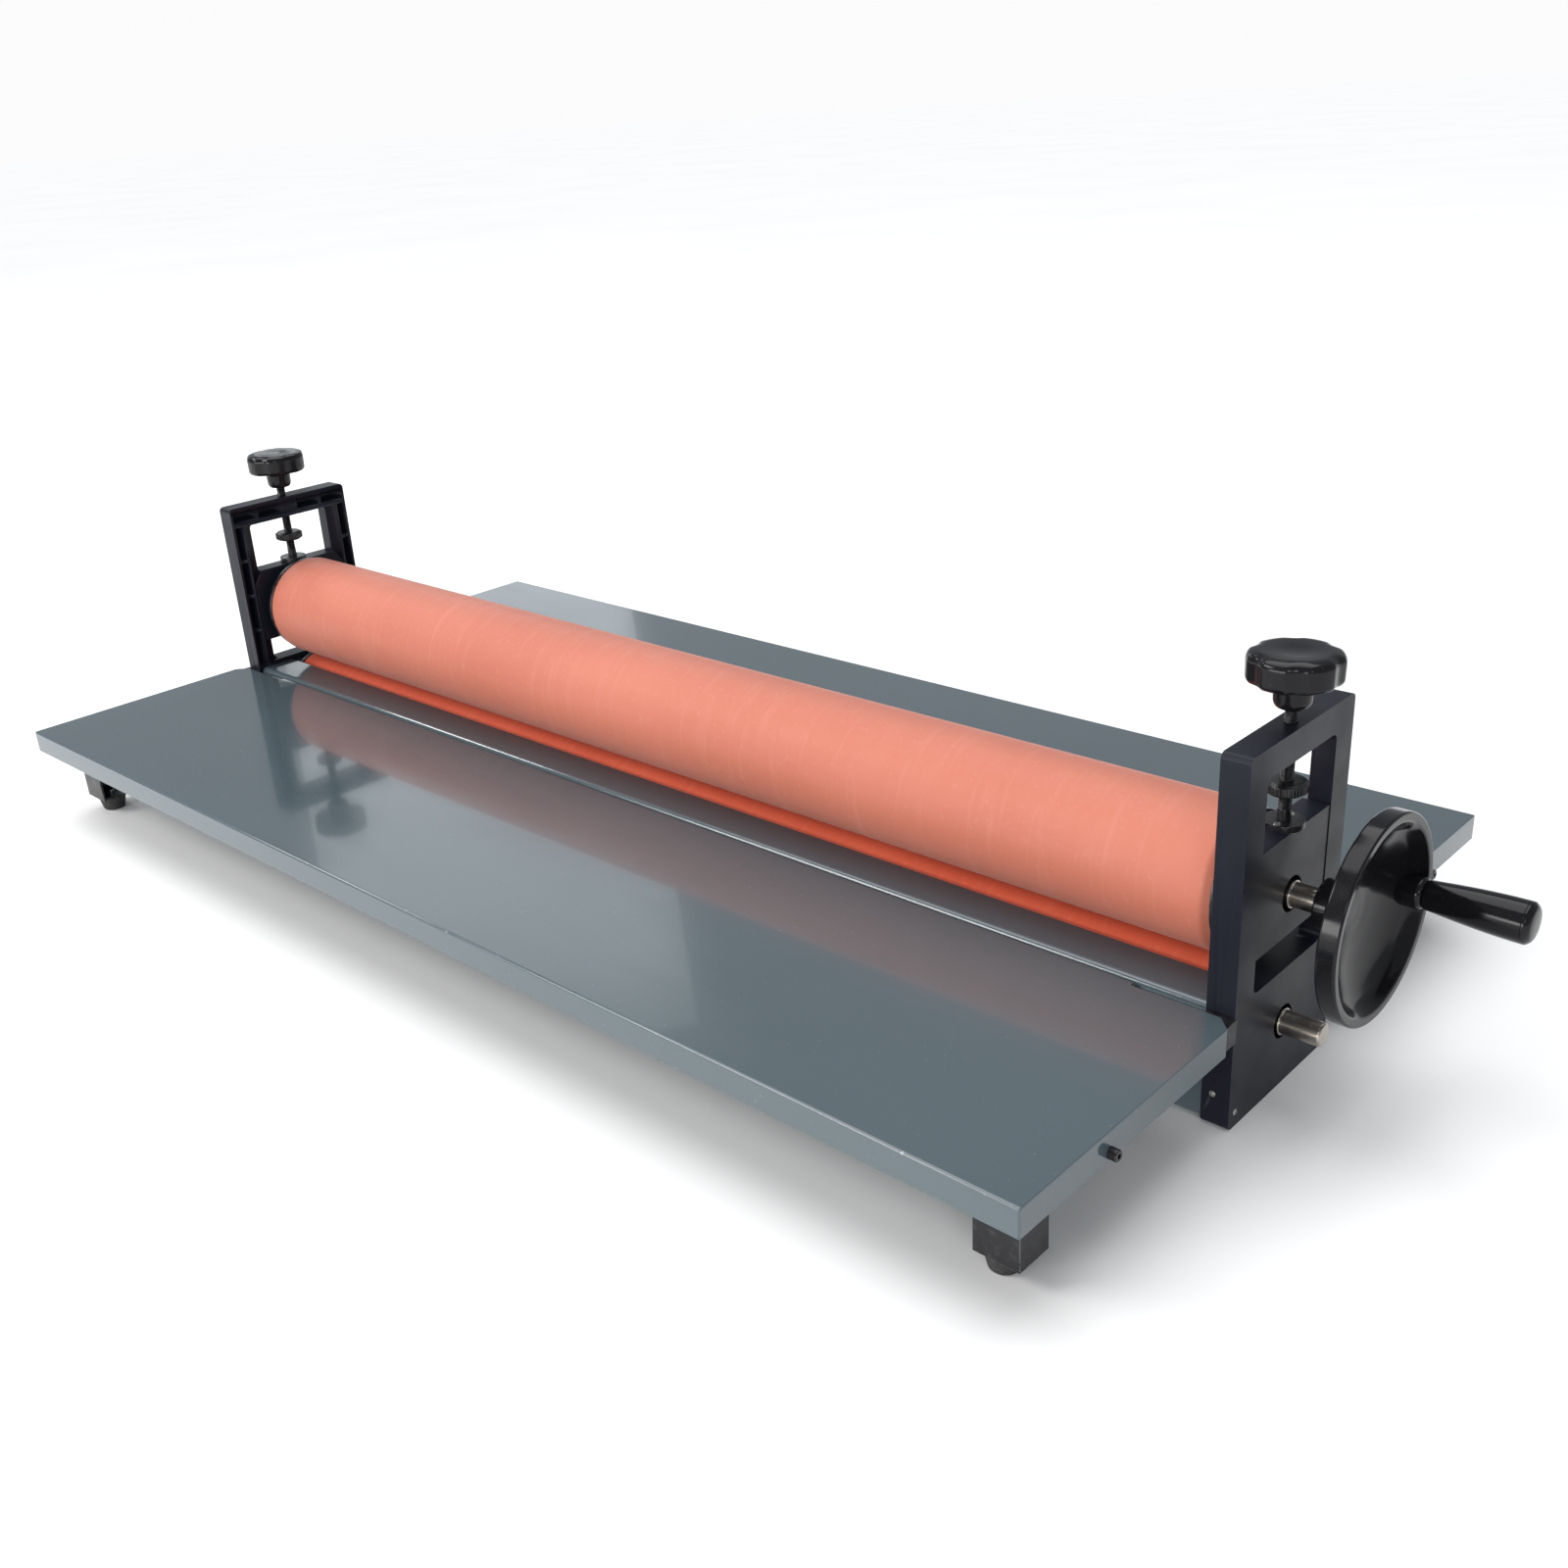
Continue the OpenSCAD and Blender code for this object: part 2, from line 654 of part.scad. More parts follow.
module roller_sleeve(d, z, paint) color(paint) translate([0, 0, z]) turned_x() polygon([
  [d / 2 - sleeve_t, -sleeve_x], [d / 2 - sleeve_t / 2, -sleeve_x],
  [d / 2, sleeve_bevel - sleeve_x], [d / 2, sleeve_x - sleeve_bevel],
  [d / 2 - sleeve_t / 2, sleeve_x], [d / 2 - sleeve_t, sleeve_x]
]);

module roller_tube(d, z) color(bright_steel) translate([0, 0, z]) difference() {
  rod_x(-sleeve_x, sleeve_x, d - 2 * sleeve_t);
  rod_x(-sleeve_x - cut, sleeve_x + cut, d - 2 * sleeve_t - 2 * tube_t);
}

module end_disc(side, d, z) color(black_steel) on_side(side) translate([0, 0, z]) difference() {
  union() {
    rod_x(sleeve_x, disc_x, d - sleeve_t / 2);
    rod_x(sleeve_x - plug_len, disc_x, d - 2 * sleeve_t - 2 * tube_t);
  }
  rod_x(sleeve_x - plug_len - cut, disc_x + cut, journal_d);
}

// Stepped shaft with a handwheel seat at its right end
module roller_shaft(z, x1) color(bright_steel) translate([0, 0, z]) turned_x() polygon([
  [0, shaft_x0], [shaft_d / 2 - shaft_bevel, shaft_x0], [shaft_d / 2, shaft_x0 + shaft_bevel],
  [shaft_d / 2, -bearing_x0], [journal_d / 2, -bearing_x0], [journal_d / 2, bearing_x0],
  [shaft_d / 2, bearing_x0], [shaft_d / 2, seat_x0], [seat_d / 2, seat_x0],
  [seat_d / 2, x1 - shaft_bevel], [seat_d / 2 - shaft_bevel, x1], [0, x1]
]);

// ---- Handwheel and crank grip ----

module wheel_section() {
  rim_r = wheel_d / 2 - rim_h / 2;
  translate([rim_r, rim_x0 + rim_b / 2]) rounded_rect(rim_h, rim_b, rim_corner_r);
  polygon([
    [0, shaft_x1], [hub_d / 2, shaft_x1], [rim_r, rim_x0 + 1], [rim_r, rim_x0 + 1 + web_t],
    [hub_d / 2 + 2, dish_x], [0, dish_x]
  ]);
  translate([0, hub_x0]) square([hub_d / 2, hub_face - 1]);
}

module handwheel() color(phenolic) difference() {
  union() {
    translate([0, 0, upper_axis_z]) turned_x() wheel_section();
    translate([0, pivot_y, pivot_z]) rod_x(rim_x0 - boss_back, pivot_x, boss_d);
  }
  translate([0, 0, upper_axis_z]) rod_x(hub_x0 - cut, shaft_x1, seat_d);
  translate([0, pivot_y, pivot_z]) rod_x(rim_x0 - boss_back - cut, pivot_x + cut, spindle_d);
  translate([wheel_screw_x, 0, upper_axis_z]) cylinder(h = hub_d / 2 + cut, d = set_screw_d);
}

module wheel_set_screw() color(black_steel)
  translate([wheel_screw_x, 0, upper_axis_z + seat_d / 2])
    cylinder(h = (hub_d - seat_d) / 2 - proud, d = set_screw_d);

module crank_spindle() color(bright_steel) translate([0, pivot_y, pivot_z]) {
  rod_x(rim_x0 - boss_back - proud, spindle_x1, spindle_d);
  rod_x(spindle_x1 - spindle_head_h, spindle_x1, spindle_head_d);
}

// Swelling grip outline: a smooth rise from the narrow end to the wide end
module crank_grip() color(phenolic) translate([0, pivot_y, pivot_z]) difference() {
  turned_x() polygon(concat(
    [[0, grip_x0]],
    [for (i = [0 : grip_steps])
      let (t = i / grip_steps)
      [grip_d0 / 2 + (grip_d1 - grip_d0) / 2 * sin(90 * t), grip_x0 + t * grip_len]],
    [[0, grip_x1]]
  ));
  rod_x(grip_x0 - cut, grip_x1, spindle_d + 2 * run_clear);
  rod_x(spindle_x1 - spindle_head_h - slide_clear, grip_x1 + cut, spindle_head_d + 2 * slide_clear);
}

module grip_end_cap() color(phenolic) translate([0, pivot_y, pivot_z]) turned_x() polygon(concat(
  [[0, grip_x1 - cap_plug], [spindle_head_d / 2 + slide_clear, grip_x1 - cap_plug],
    [spindle_head_d / 2 + slide_clear, grip_x1]],
  [for (i = [0 : grip_steps])
    let (a = 90 * i / grip_steps)
    [grip_d1 / 2 * cos(a), grip_x1 + cap_h * sin(a)]]
));

// ---- The assembly ----

side_frame(left);  // side_frame_left
side_frame(right);  // side_frame_right
base_channel();
table(front);  // front_table
table(rear);  // rear_table
table_arm(left, front);  // table_arm_front_left
table_arm(right, front);  // table_arm_front_right
table_arm(left, rear);  // table_arm_rear_left
table_arm(right, rear);  // table_arm_rear_right
foot_bracket(left, front);  // foot_bracket_front_left
foot_bracket(right, front);  // foot_bracket_front_right
foot_bracket(left, rear);  // foot_bracket_rear_left
foot_bracket(right, rear);  // foot_bracket_rear_right
rubber_foot(left, front);  // rubber_foot_front_left
rubber_foot(right, front);  // rubber_foot_front_right
rubber_foot(left, rear);  // rubber_foot_rear_left
rubber_foot(right, rear);  // rubber_foot_rear_right
table_side_screws();
arm_screws();
base_screws();
frame_set_screws();
foot_screws();
bearing_outer(left, lower_axis_z);  // lower_bearing_outer_left
bearing_outer(right, lower_axis_z);  // lower_bearing_outer_right
bearing_balls(lower_axis_z);  // lower_bearing_balls
bearing_block(left);  // bearing_block_left
bearing_block(right);  // bearing_block_right
bearing_outer(left, upper_axis_z);  // upper_bearing_outer_left
bearing_outer(right, upper_axis_z);  // upper_bearing_outer_right
bearing_balls(upper_axis_z);  // upper_bearing_balls
thrust_collar(left);  // thrust_collar_left
thrust_collar(right);  // thrust_collar_right
collar_screws();
roller_tube(upper_d, upper_axis_z);  // upper_roller_tube
roller_sleeve(upper_d, upper_axis_z, upper_rubber);  // upper_roller_sleeve
end_disc(left, upper_d, upper_axis_z);  // upper_end_disc_left
end_disc(right, upper_d, upper_axis_z);  // upper_end_disc_right
roller_shaft(upper_axis_z, shaft_x1);  // upper_shaft
bearing_inner(left, upper_axis_z);  // upper_bearing_inner_left
bearing_inner(right, upper_axis_z);  // upper_bearing_inner_right
handwheel();
wheel_set_screw();
crank_spindle();
crank_grip();
grip_end_cap();
roller_tube(lower_d, lower_axis_z);  // lower_roller_tube
roller_sleeve(lower_d, lower_axis_z, lower_rubber);  // lower_roller_sleeve
end_disc(left, lower_d, lower_axis_z);  // lower_end_disc_left
end_disc(right, lower_d, lower_axis_z);  // lower_end_disc_right
roller_shaft(lower_axis_z, frame_x1 + stub_len);  // lower_shaft
bearing_inner(left, lower_axis_z);  // lower_bearing_inner_left
bearing_inner(right, lower_axis_z);  // lower_bearing_inner_right
pressure_screw(left);  // pressure_screw_left
star_knob(left);  // star_knob_left
pressure_screw(right);  // pressure_screw_right
star_knob(right);  // star_knob_right
lock_nut(left);  // lock_nut_left
lock_nut(right);  // lock_nut_right
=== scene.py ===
"""Looks of a bench-top cold roll laminator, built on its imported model.

Each sub-assembly of the machine is one class. It keeps its sizes as fields, makes its
meshes and gives them their finish. All lengths are in metres in the model's own frame:
x runs along the rollers towards the handwheel, y towards the rear table, z up.
"""

import json
import logging
import math
from collections.abc import Callable, Sequence
from dataclasses import dataclass
from enum import Enum

import bmesh
import bpy
from mathutils import Matrix, Vector
from mathutils.geometry import delaunay_2d_cdt

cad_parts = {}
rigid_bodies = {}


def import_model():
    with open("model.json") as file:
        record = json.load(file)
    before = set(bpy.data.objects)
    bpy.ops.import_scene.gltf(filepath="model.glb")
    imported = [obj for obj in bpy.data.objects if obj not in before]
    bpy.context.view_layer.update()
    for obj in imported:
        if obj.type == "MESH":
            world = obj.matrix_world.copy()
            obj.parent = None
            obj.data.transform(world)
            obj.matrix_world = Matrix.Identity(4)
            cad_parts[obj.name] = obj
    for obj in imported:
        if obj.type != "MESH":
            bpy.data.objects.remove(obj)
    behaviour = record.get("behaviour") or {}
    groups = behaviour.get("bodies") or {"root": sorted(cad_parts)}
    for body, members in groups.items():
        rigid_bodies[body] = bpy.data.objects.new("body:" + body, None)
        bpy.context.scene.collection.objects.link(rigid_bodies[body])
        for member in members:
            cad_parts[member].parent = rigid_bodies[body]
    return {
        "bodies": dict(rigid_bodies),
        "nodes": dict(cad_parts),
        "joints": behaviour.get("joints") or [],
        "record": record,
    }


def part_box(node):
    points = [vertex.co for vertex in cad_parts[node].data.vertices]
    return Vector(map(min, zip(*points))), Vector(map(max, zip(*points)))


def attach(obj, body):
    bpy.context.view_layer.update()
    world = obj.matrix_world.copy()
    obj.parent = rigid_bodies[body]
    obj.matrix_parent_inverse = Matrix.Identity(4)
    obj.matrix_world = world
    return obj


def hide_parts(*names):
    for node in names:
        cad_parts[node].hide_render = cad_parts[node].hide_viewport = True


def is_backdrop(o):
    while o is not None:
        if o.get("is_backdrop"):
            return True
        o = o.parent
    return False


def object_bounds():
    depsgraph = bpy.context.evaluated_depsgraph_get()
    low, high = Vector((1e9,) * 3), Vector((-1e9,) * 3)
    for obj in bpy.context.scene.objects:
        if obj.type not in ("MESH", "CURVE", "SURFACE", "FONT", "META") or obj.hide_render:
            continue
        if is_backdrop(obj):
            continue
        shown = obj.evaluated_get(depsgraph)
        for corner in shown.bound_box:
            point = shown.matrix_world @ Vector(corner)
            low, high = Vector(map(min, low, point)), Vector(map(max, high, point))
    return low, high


LOG = logging.getLogger("laminator")
MM = 0.001
MERGE = 1e-7  # corners closer than this are one
NEAR = 2e-6  # the same for the corners of a CAD node
FLAT = 0.99999  # cosine between faces that lie in one plane

Node = bpy.types.Node
Socket = bpy.types.NodeSocket
Material = bpy.types.Material
Mesh = bpy.types.Mesh
Thing = bpy.types.Object
Solid = bmesh.types.BMesh
Colour = tuple[float, float, float]
Corner = tuple[float, float, float]  # radius, place along the axis, fillet
Swell = Callable[[float, float, float], float]  # radius, place, angle -> radius


class Body(Enum):
    """The moving groups that a piece can ride on."""

    STAND = "stand"
    CARRIAGE = "carriage"
    UPPER_ROLLER = "upper_roller"
    LOWER_ROLLER = "lower_roller"
    GRIP = "grip"
    LEFT_SCREW = "left_screw"
    RIGHT_SCREW = "right_screw"
    LEFT_LOCK_NUT = "left_lock_nut"
    RIGHT_LOCK_NUT = "right_lock_nut"


class Slot(Enum):
    """The finishes named in the model's record."""

    FRAME_PAINT = "frame_paint"
    TABLE_PAINT = "table_paint"
    BLACK_STEEL = "black_steel"
    FOOT_RUBBER = "foot_rubber"
    PHENOLIC = "phenolic"
    UPPER_RUBBER = "upper_rubber"
    LOWER_RUBBER = "lower_rubber"
    BEARING_STEEL = "bearing_steel"
    ZINC_STEEL = "zinc_steel"
    GROUND_STEEL = "ground_steel"


class Axis(Enum):
    """The axis that a turned piece is turned about."""

    X = 0
    Y = 1
    Z = 2


class Side(Enum):
    """The two ends of the machine along the rollers."""

    LEFT = "left"
    RIGHT = "right"


class End(Enum):
    """The feed end and the delivery end of the machine."""

    FRONT = "front"
    REAR = "rear"


# ---- Finishes ----


class NodeBoard:
    """A node tree with a short call that adds and feeds its nodes."""

    tree: bpy.types.NodeTree

    def node(self, kind: str, feeds: dict[str | int, object] | None = None, **settings: object) -> Node:
        """Adds one node.

        Args:
            kind: the node's type.
            feeds: what goes into its inputs, each a socket or a plain value.
            settings: the node's properties by name.

        Returns:
            The new node.
        """
        made = self.tree.nodes.new(kind)
        for key, value in settings.items():
            setattr(made, key, value)
        for key, value in (feeds or {}).items():
            if isinstance(value, Socket):
                self.tree.links.new(value, made.inputs[key])
            else:
                made.inputs[key].default_value = value
        return made


class PaintBoard(NodeBoard):
    """The node tree of one material, with short calls for its usual nodes."""

    def __init__(self, name: str) -> None:
        """Starts a material with one Principled shader.

        Args:
            name: the material's name.
        """
        self.material = bpy.data.materials.new(name)
        self.material.use_nodes = True
        self.tree = self.material.node_tree
        self.tree.nodes.clear()
        self.shader = self.node("ShaderNodeBsdfPrincipled")
        self.node("ShaderNodeOutputMaterial", {"Surface": self.shader.outputs["BSDF"]})
        self.place = self.node("ShaderNodeTexCoord").outputs["Object"]

    def set(self, **values: object) -> None:
        """Sets plain values on the shader, with underscores for the spaces in socket names."""
        for key, value in values.items():
            self.shader.inputs[key.replace("_", " ")].default_value = value

    def noise(self, scale: float, detail: float = 3.0, stretch: Colour = (1.0, 1.0, 1.0)) -> Socket:
        """Adds a noise pattern on object coordinates.

        Args:
            scale: spots in one metre.
            detail: octaves of finer noise.
            stretch: how many times finer the pattern is along each axis.

        Returns:
            The noise value, about 0 to 1.
        """
        mapping = self.node("ShaderNodeMapping", {"Vector": self.place, "Scale": stretch})
        feeds = {"Vector": mapping.outputs["Vector"], "Scale": scale, "Detail": detail}
        return self.node("ShaderNodeTexNoise", feeds).outputs["Fac"]

    def spread(
        self, value: Socket, low: float, high: float, start: float = 0.3, stop: float = 0.7
    ) -> Socket:
        """Maps a value from start..stop to low..high and holds it there.

        Args:
            value: the socket to map.
            low: the result at start.
            high: the result at stop.
            start: the lower end of the value.
            stop: the upper end of the value.

        Returns:
            The mapped value.
        """
        feeds = {"Value": value, "From Min": start, "From Max": stop, "To Min": low, "To Max": high}
        return self.node("ShaderNodeMapRange", feeds).outputs["Result"]

    def times(self, first: Socket, second: Socket) -> Socket:
        """Multiplies two values and returns the product."""
        return self.node("ShaderNodeMath", {0: first, 1: second}, operation="MULTIPLY").outputs[0]

    def blend(
        self, factor: Socket, first: Colour | Socket, second: Colour
    ) -> Socket:
        """Blends a colour or colour socket with a second colour.

        Args:
            factor: 0 for the first colour, 1 for the second.
            first: the colour under the pattern.
            second: the colour of the pattern.

        Returns:
            The blended colour.
        """
        under = (*first, 1.0) if isinstance(first, tuple) else first
        return self.node("ShaderNodeMix", {0: factor, 6: under, 7: (*second, 1.0)}, data_type="RGBA").outputs[2]

    def relief(
        self, height: Socket, strength: float, depth: float, under: Socket | None = None
    ) -> Socket:
        """Adds a bump.

        Args:
            height: the height pattern.
            strength: how strongly it shows, 0 to 1.
            depth: height of the relief in metres.
            under: another bump that this one lies on.

        Returns:
            The new normal.
        """
        feeds = {"Strength": strength, "Distance": depth, "Height": height}
        if under is not None:
            feeds["Normal"] = under
        return self.node("ShaderNodeBump", feeds).outputs["Normal"]

    def edge_wear(self, scale: float, start: float) -> Socket:
        """Finds the worn spots on a piece's rounded edges.

        Args:
            scale: spots in one metre.
            start: noise value above which the finish is worn through.

        Returns:
            0 on sound finish, up to 1 where it is worn.
        """
        edge = self.node("ShaderNodeAttribute", attribute_name="edge").outputs["Fac"]
        return self.times(edge, self.spread(self.noise(scale, 4.0), 0.0, 1.0, start, start + 0.08))

    def finish(
        self,
        colour: Socket,
        roughness: Socket,
        normal: Socket,
    ) -> Material:
        """Joins the three patterns to the shader and returns the material."""
        for name, pattern in (("Base Color", colour), ("Roughness", roughness), ("Normal", normal)):
            self.tree.links.new(pattern, self.shader.inputs[name])
        return self.material


@dataclass(frozen=True)
class GlossSheetPaint:
    """Mirror-gloss stoving paint on folded sheet, with faint smears and orange peel."""

    slot: Slot = Slot.TABLE_PAINT
    colour: Colour = (0.058, 0.084, 0.097)
    drift: Colour = (0.068, 0.096, 0.110)
    worn: Colour = (0.19, 0.23, 0.26)

    def build(self) -> Material:
        """Makes the material."""
        board = PaintBoard("gloss_sheet_paint")
        board.set(IOR=1.52, Coat_Weight=0.4, Coat_Roughness=0.04)
        colour = board.blend(board.spread(board.noise(3.0), 0.0, 1.0), self.colour, self.drift)
        colour = board.blend(board.spread(board.noise(420.0, 2.0), 0.0, 0.5, 0.70, 0.80), colour, self.worn)
        colour = board.blend(board.edge_wear(160.0, 0.68), colour, self.worn)
        smears = board.spread(board.noise(7.0, 6.0, (1.0, 3.0, 1.0)), 0.09, 0.19)
        peel = board.relief(board.noise(650.0, 2.0), 0.10, 0.00003)
        sag = board.relief(board.noise(9.0, 2.0), 0.25, 0.0005, peel)
        return board.finish(colour, smears, sag)


@dataclass(frozen=True)
class SatinCastingPaint:
    """Satin blue-black paint on cast metal, with the fine skin of the casting under it."""

    slot: Slot = Slot.FRAME_PAINT
    colour: Colour = (0.009, 0.010, 0.017)
    drift: Colour = (0.013, 0.015, 0.023)
    worn: Colour = (0.10, 0.12, 0.16)

    def build(self) -> Material:
        """Makes the material."""
        board = PaintBoard("satin_casting_paint")
        board.set(IOR=1.5, Specular_IOR_Level=0.16)
        colour = board.blend(board.spread(board.noise(14.0), 0.0, 1.0), self.colour, self.drift)
        colour = board.blend(board.edge_wear(140.0, 0.66), colour, self.worn)
        rough = board.spread(board.noise(30.0, 5.0), 0.30, 0.44)
        skin = board.relief(board.noise(900.0, 2.0), 0.22, 0.00006)
        waves = board.relief(board.noise(40.0, 2.0), 0.15, 0.0003, skin)
        return board.finish(colour, rough, waves)


@dataclass(frozen=True)
class GlossMoulding:
    """Gloss black phenolic moulding with hairline polish marks and a little dust."""

    slot: Slot = Slot.PHENOLIC
    colour: Colour = (0.006, 0.006, 0.0075)
    dust: Colour = (0.055, 0.055, 0.058)

    def build(self) -> Material:
        """Makes the material."""
        board = PaintBoard("gloss_black_moulding")
        board.set(IOR=1.5, Specular_IOR_Level=0.24)
        colour = board.blend(board.spread(board.noise(700.0, 3.0), 0.0, 0.5, 0.66, 0.78), self.colour, self.dust)
        rough = board.spread(board.noise(60.0, 5.0), 0.08, 0.20)
        polish = board.relief(board.noise(500.0, 2.0, (0.2, 1.0, 1.0)), 0.06, 0.00002)
        shrink = board.relief(board.noise(55.0, 1.0), 0.12, 0.0003, polish)
        return board.finish(colour, rough, shrink)


@dataclass(frozen=True)
class SiliconeRubber:
    """Ground silicone rubber of a roller: matt, faintly mottled, with fine grinding marks."""

    slot: Slot
    colour: Colour
    drift: Colour
    scuff: Colour

    def build(self) -> Material:
        """Makes the material."""
        board = PaintBoard(f"{self.slot.value}_ground")
        board.set(IOR=1.43, Specular_IOR_Level=0.42, Sheen_Weight=0.12, Sheen_Roughness=0.45)
        colour = board.blend(board.spread(board.noise(9.0, 3.0, (0.6, 1.0, 1.0)), 0.0, 1.0), self.colour, self.drift)
        colour = board.blend(board.spread(board.noise(260.0, 4.0), 0.0, 0.45, 0.58, 0.75), colour, self.scuff)
        colour = board.blend(
            board.spread(board.noise(30.0, 4.0, (6.0, 0.5, 0.5)), 0.0, 0.35, 0.55, 0.75), colour, self.scuff
        )
        rough = board.spread(board.noise(35.0, 4.0, (3.0, 1.0, 1.0)), 0.46, 0.60)
        grinding = board.relief(board.noise(60.0, 2.0, (40.0, 1.0, 1.0)), 0.20, 0.00005)
        grain = board.relief(board.noise(1400.0, 2.0), 0.20, 0.00004, grinding)
        return board.finish(colour, rough, grain)


@dataclass(frozen=True)
class TurnedSteel:
    """Turned or ground steel with its fine turning marks round the x axis."""

    slot: Slot
    colour: Colour
    drift: Colour
    smooth: float
    rough: float
    marks: float = 0.3

    def build(self) -> Material:
        """Makes the material."""
        board = PaintBoard(f"{self.slot.value}_turned")
        board.set(Metallic=1.0)
        colour = board.blend(board.spread(board.noise(45.0, 4.0), 0.0, 1.0), self.colour, self.drift)
        rough = board.spread(board.noise(90.0, 3.0, (8.0, 1.0, 1.0)), self.smooth, self.rough)
        marks = board.relief(board.noise(60.0, 2.0, (40.0, 0.3, 0.3)), self.marks, 0.000004)
        return board.finish(colour, rough, marks)


@dataclass(frozen=True)
class BlackenedSteel:
    """Oil-blackened steel that shows brighter where it rubs."""

    slot: Slot = Slot.BLACK_STEEL
    colour: Colour = (0.012, 0.012, 0.014)
    rubbed: Colour = (0.085, 0.085, 0.090)

    def build(self) -> Material:
        """Makes the material."""
        board = PaintBoard("blackened_steel")
        board.set(IOR=1.6, Metallic=0.35)
        colour = board.blend(board.spread(board.noise(240.0, 4.0), 0.0, 0.35, 0.52, 0.75), self.colour, self.rubbed)
        colour = board.blend(board.edge_wear(200.0, 0.44), colour, self.rubbed)
        rough = board.spread(board.noise(120.0, 4.0), 0.26, 0.42)
        return board.finish(colour, rough, board.relief(board.noise(1200.0, 2.0), 0.2, 0.00003))


@dataclass(frozen=True)
class FootRubber:
    """Matt black rubber with a dusty skin."""

    slot: Slot = Slot.FOOT_RUBBER
    colour: Colour = (0.014, 0.014, 0.015)
    dust: Colour = (0.060, 0.058, 0.055)

    def build(self) -> Material:
        """Makes the material."""
        board = PaintBoard("foot_rubber")
        board.set(IOR=1.5)
        colour = board.blend(board.spread(board.noise(260.0, 4.0), 0.0, 0.6), self.colour, self.dust)
        rough = board.spread(board.noise(90.0, 3.0), 0.62, 0.85)
        return board.finish(colour, rough, board.relief(board.noise(1100.0, 3.0), 0.35, 0.00006))


@dataclass(frozen=True)
class StudioFloor:
    """Plain pale floor with a barely visible unevenness."""

    colour: Colour = (0.94, 0.94, 0.935)
    drift: Colour = (0.91, 0.91, 0.91)

    def build(self) -> Material:
        """Makes the material."""
        board = PaintBoard("studio_floor")
        board.set(IOR=1.3, Specular_IOR_Level=0.0)
        colour = board.blend(board.spread(board.noise(1.5), 0.0, 1.0), self.colour, self.drift)
        rough = board.spread(board.noise(4.0), 0.75, 0.9)
        return board.finish(colour, rough, board.relief(board.noise(400.0, 2.0), 0.05, 0.0001))


FINISHES = (
    GlossSheetPaint(),
    SatinCastingPaint(),
    GlossMoulding(),
    SiliconeRubber(Slot.UPPER_RUBBER, (0.51, 0.158, 0.102), (0.465, 0.136, 0.087), (0.56, 0.21, 0.15)),
    # The lower roller has the same rubber as the upper. Its deeper, more saturated colours are painted shade plus a
    # painted glow of light bounced between the two rollers.
    SiliconeRubber(Slot.LOWER_RUBBER, (0.60, 0.105, 0.050), (0.54, 0.085, 0.040), (0.64, 0.15, 0.080)),
    TurnedSteel(Slot.GROUND_STEEL, (0.50, 0.46, 0.41), (0.43, 0.39, 0.34), 0.20, 0.27),
    TurnedSteel(Slot.BEARING_STEEL, (0.66, 0.66, 0.65), (0.58, 0.57, 0.56), 0.10, 0.22, 0.15),
    TurnedSteel(Slot.ZINC_STEEL, (0.66, 0.66, 0.64), (0.52, 0.52, 0.50), 0.22, 0.40, 0.2),
    BlackenedSteel(),
    FootRubber(),
)


# ---- Meshes ----


@dataclass(frozen=True)
class Span:
    """The box of a CAD node at rest."""

    low: Vector
    high: Vector

    @property
    def middle(self) -> Vector:
        """The middle of the box."""
        return (self.low + self.high) / 2

    @property
    def size(self) -> Vector:
        """The three sides of the box."""
        return self.high - self.low


def filleted(outline: Sequence[Corner], closed: bool, steps: int = 4) -> list[tuple[float, float]]:
    """Rounds the corners of a half section.

    Args:
        outline: the corners as radius, place along the axis and fillet.
        closed: whether the last corner joins the first.
        steps: straight bits in one rounded corner.

    Returns:
        The rounded outline as radius and place.
    """
    points: list[tuple[float, float]] = []
    count = len(outline)
    for index, (radius, along, fillet) in enumerate(outline):
        here = Vector((radius, along))
        at_end = not closed and index in (0, count - 1)
        if fillet <= 0 or at_end:
            points.append((radius, along))
            continue
        before = Vector(outline[index - 1][:2]) - here
        after = Vector(outline[(index + 1) % count][:2]) - here
        turn = min(fillet, 0.48 * before.length, 0.48 * after.length)
        start, stop = here + before.normalized() * turn, here + after.normalized() * turn
        for step in range(steps + 1):
            t = step / steps
            point = start * (1 - t) ** 2 + here * 2 * t * (1 - t) + stop * t**2
            points.append((point.x, point.y))
    return points


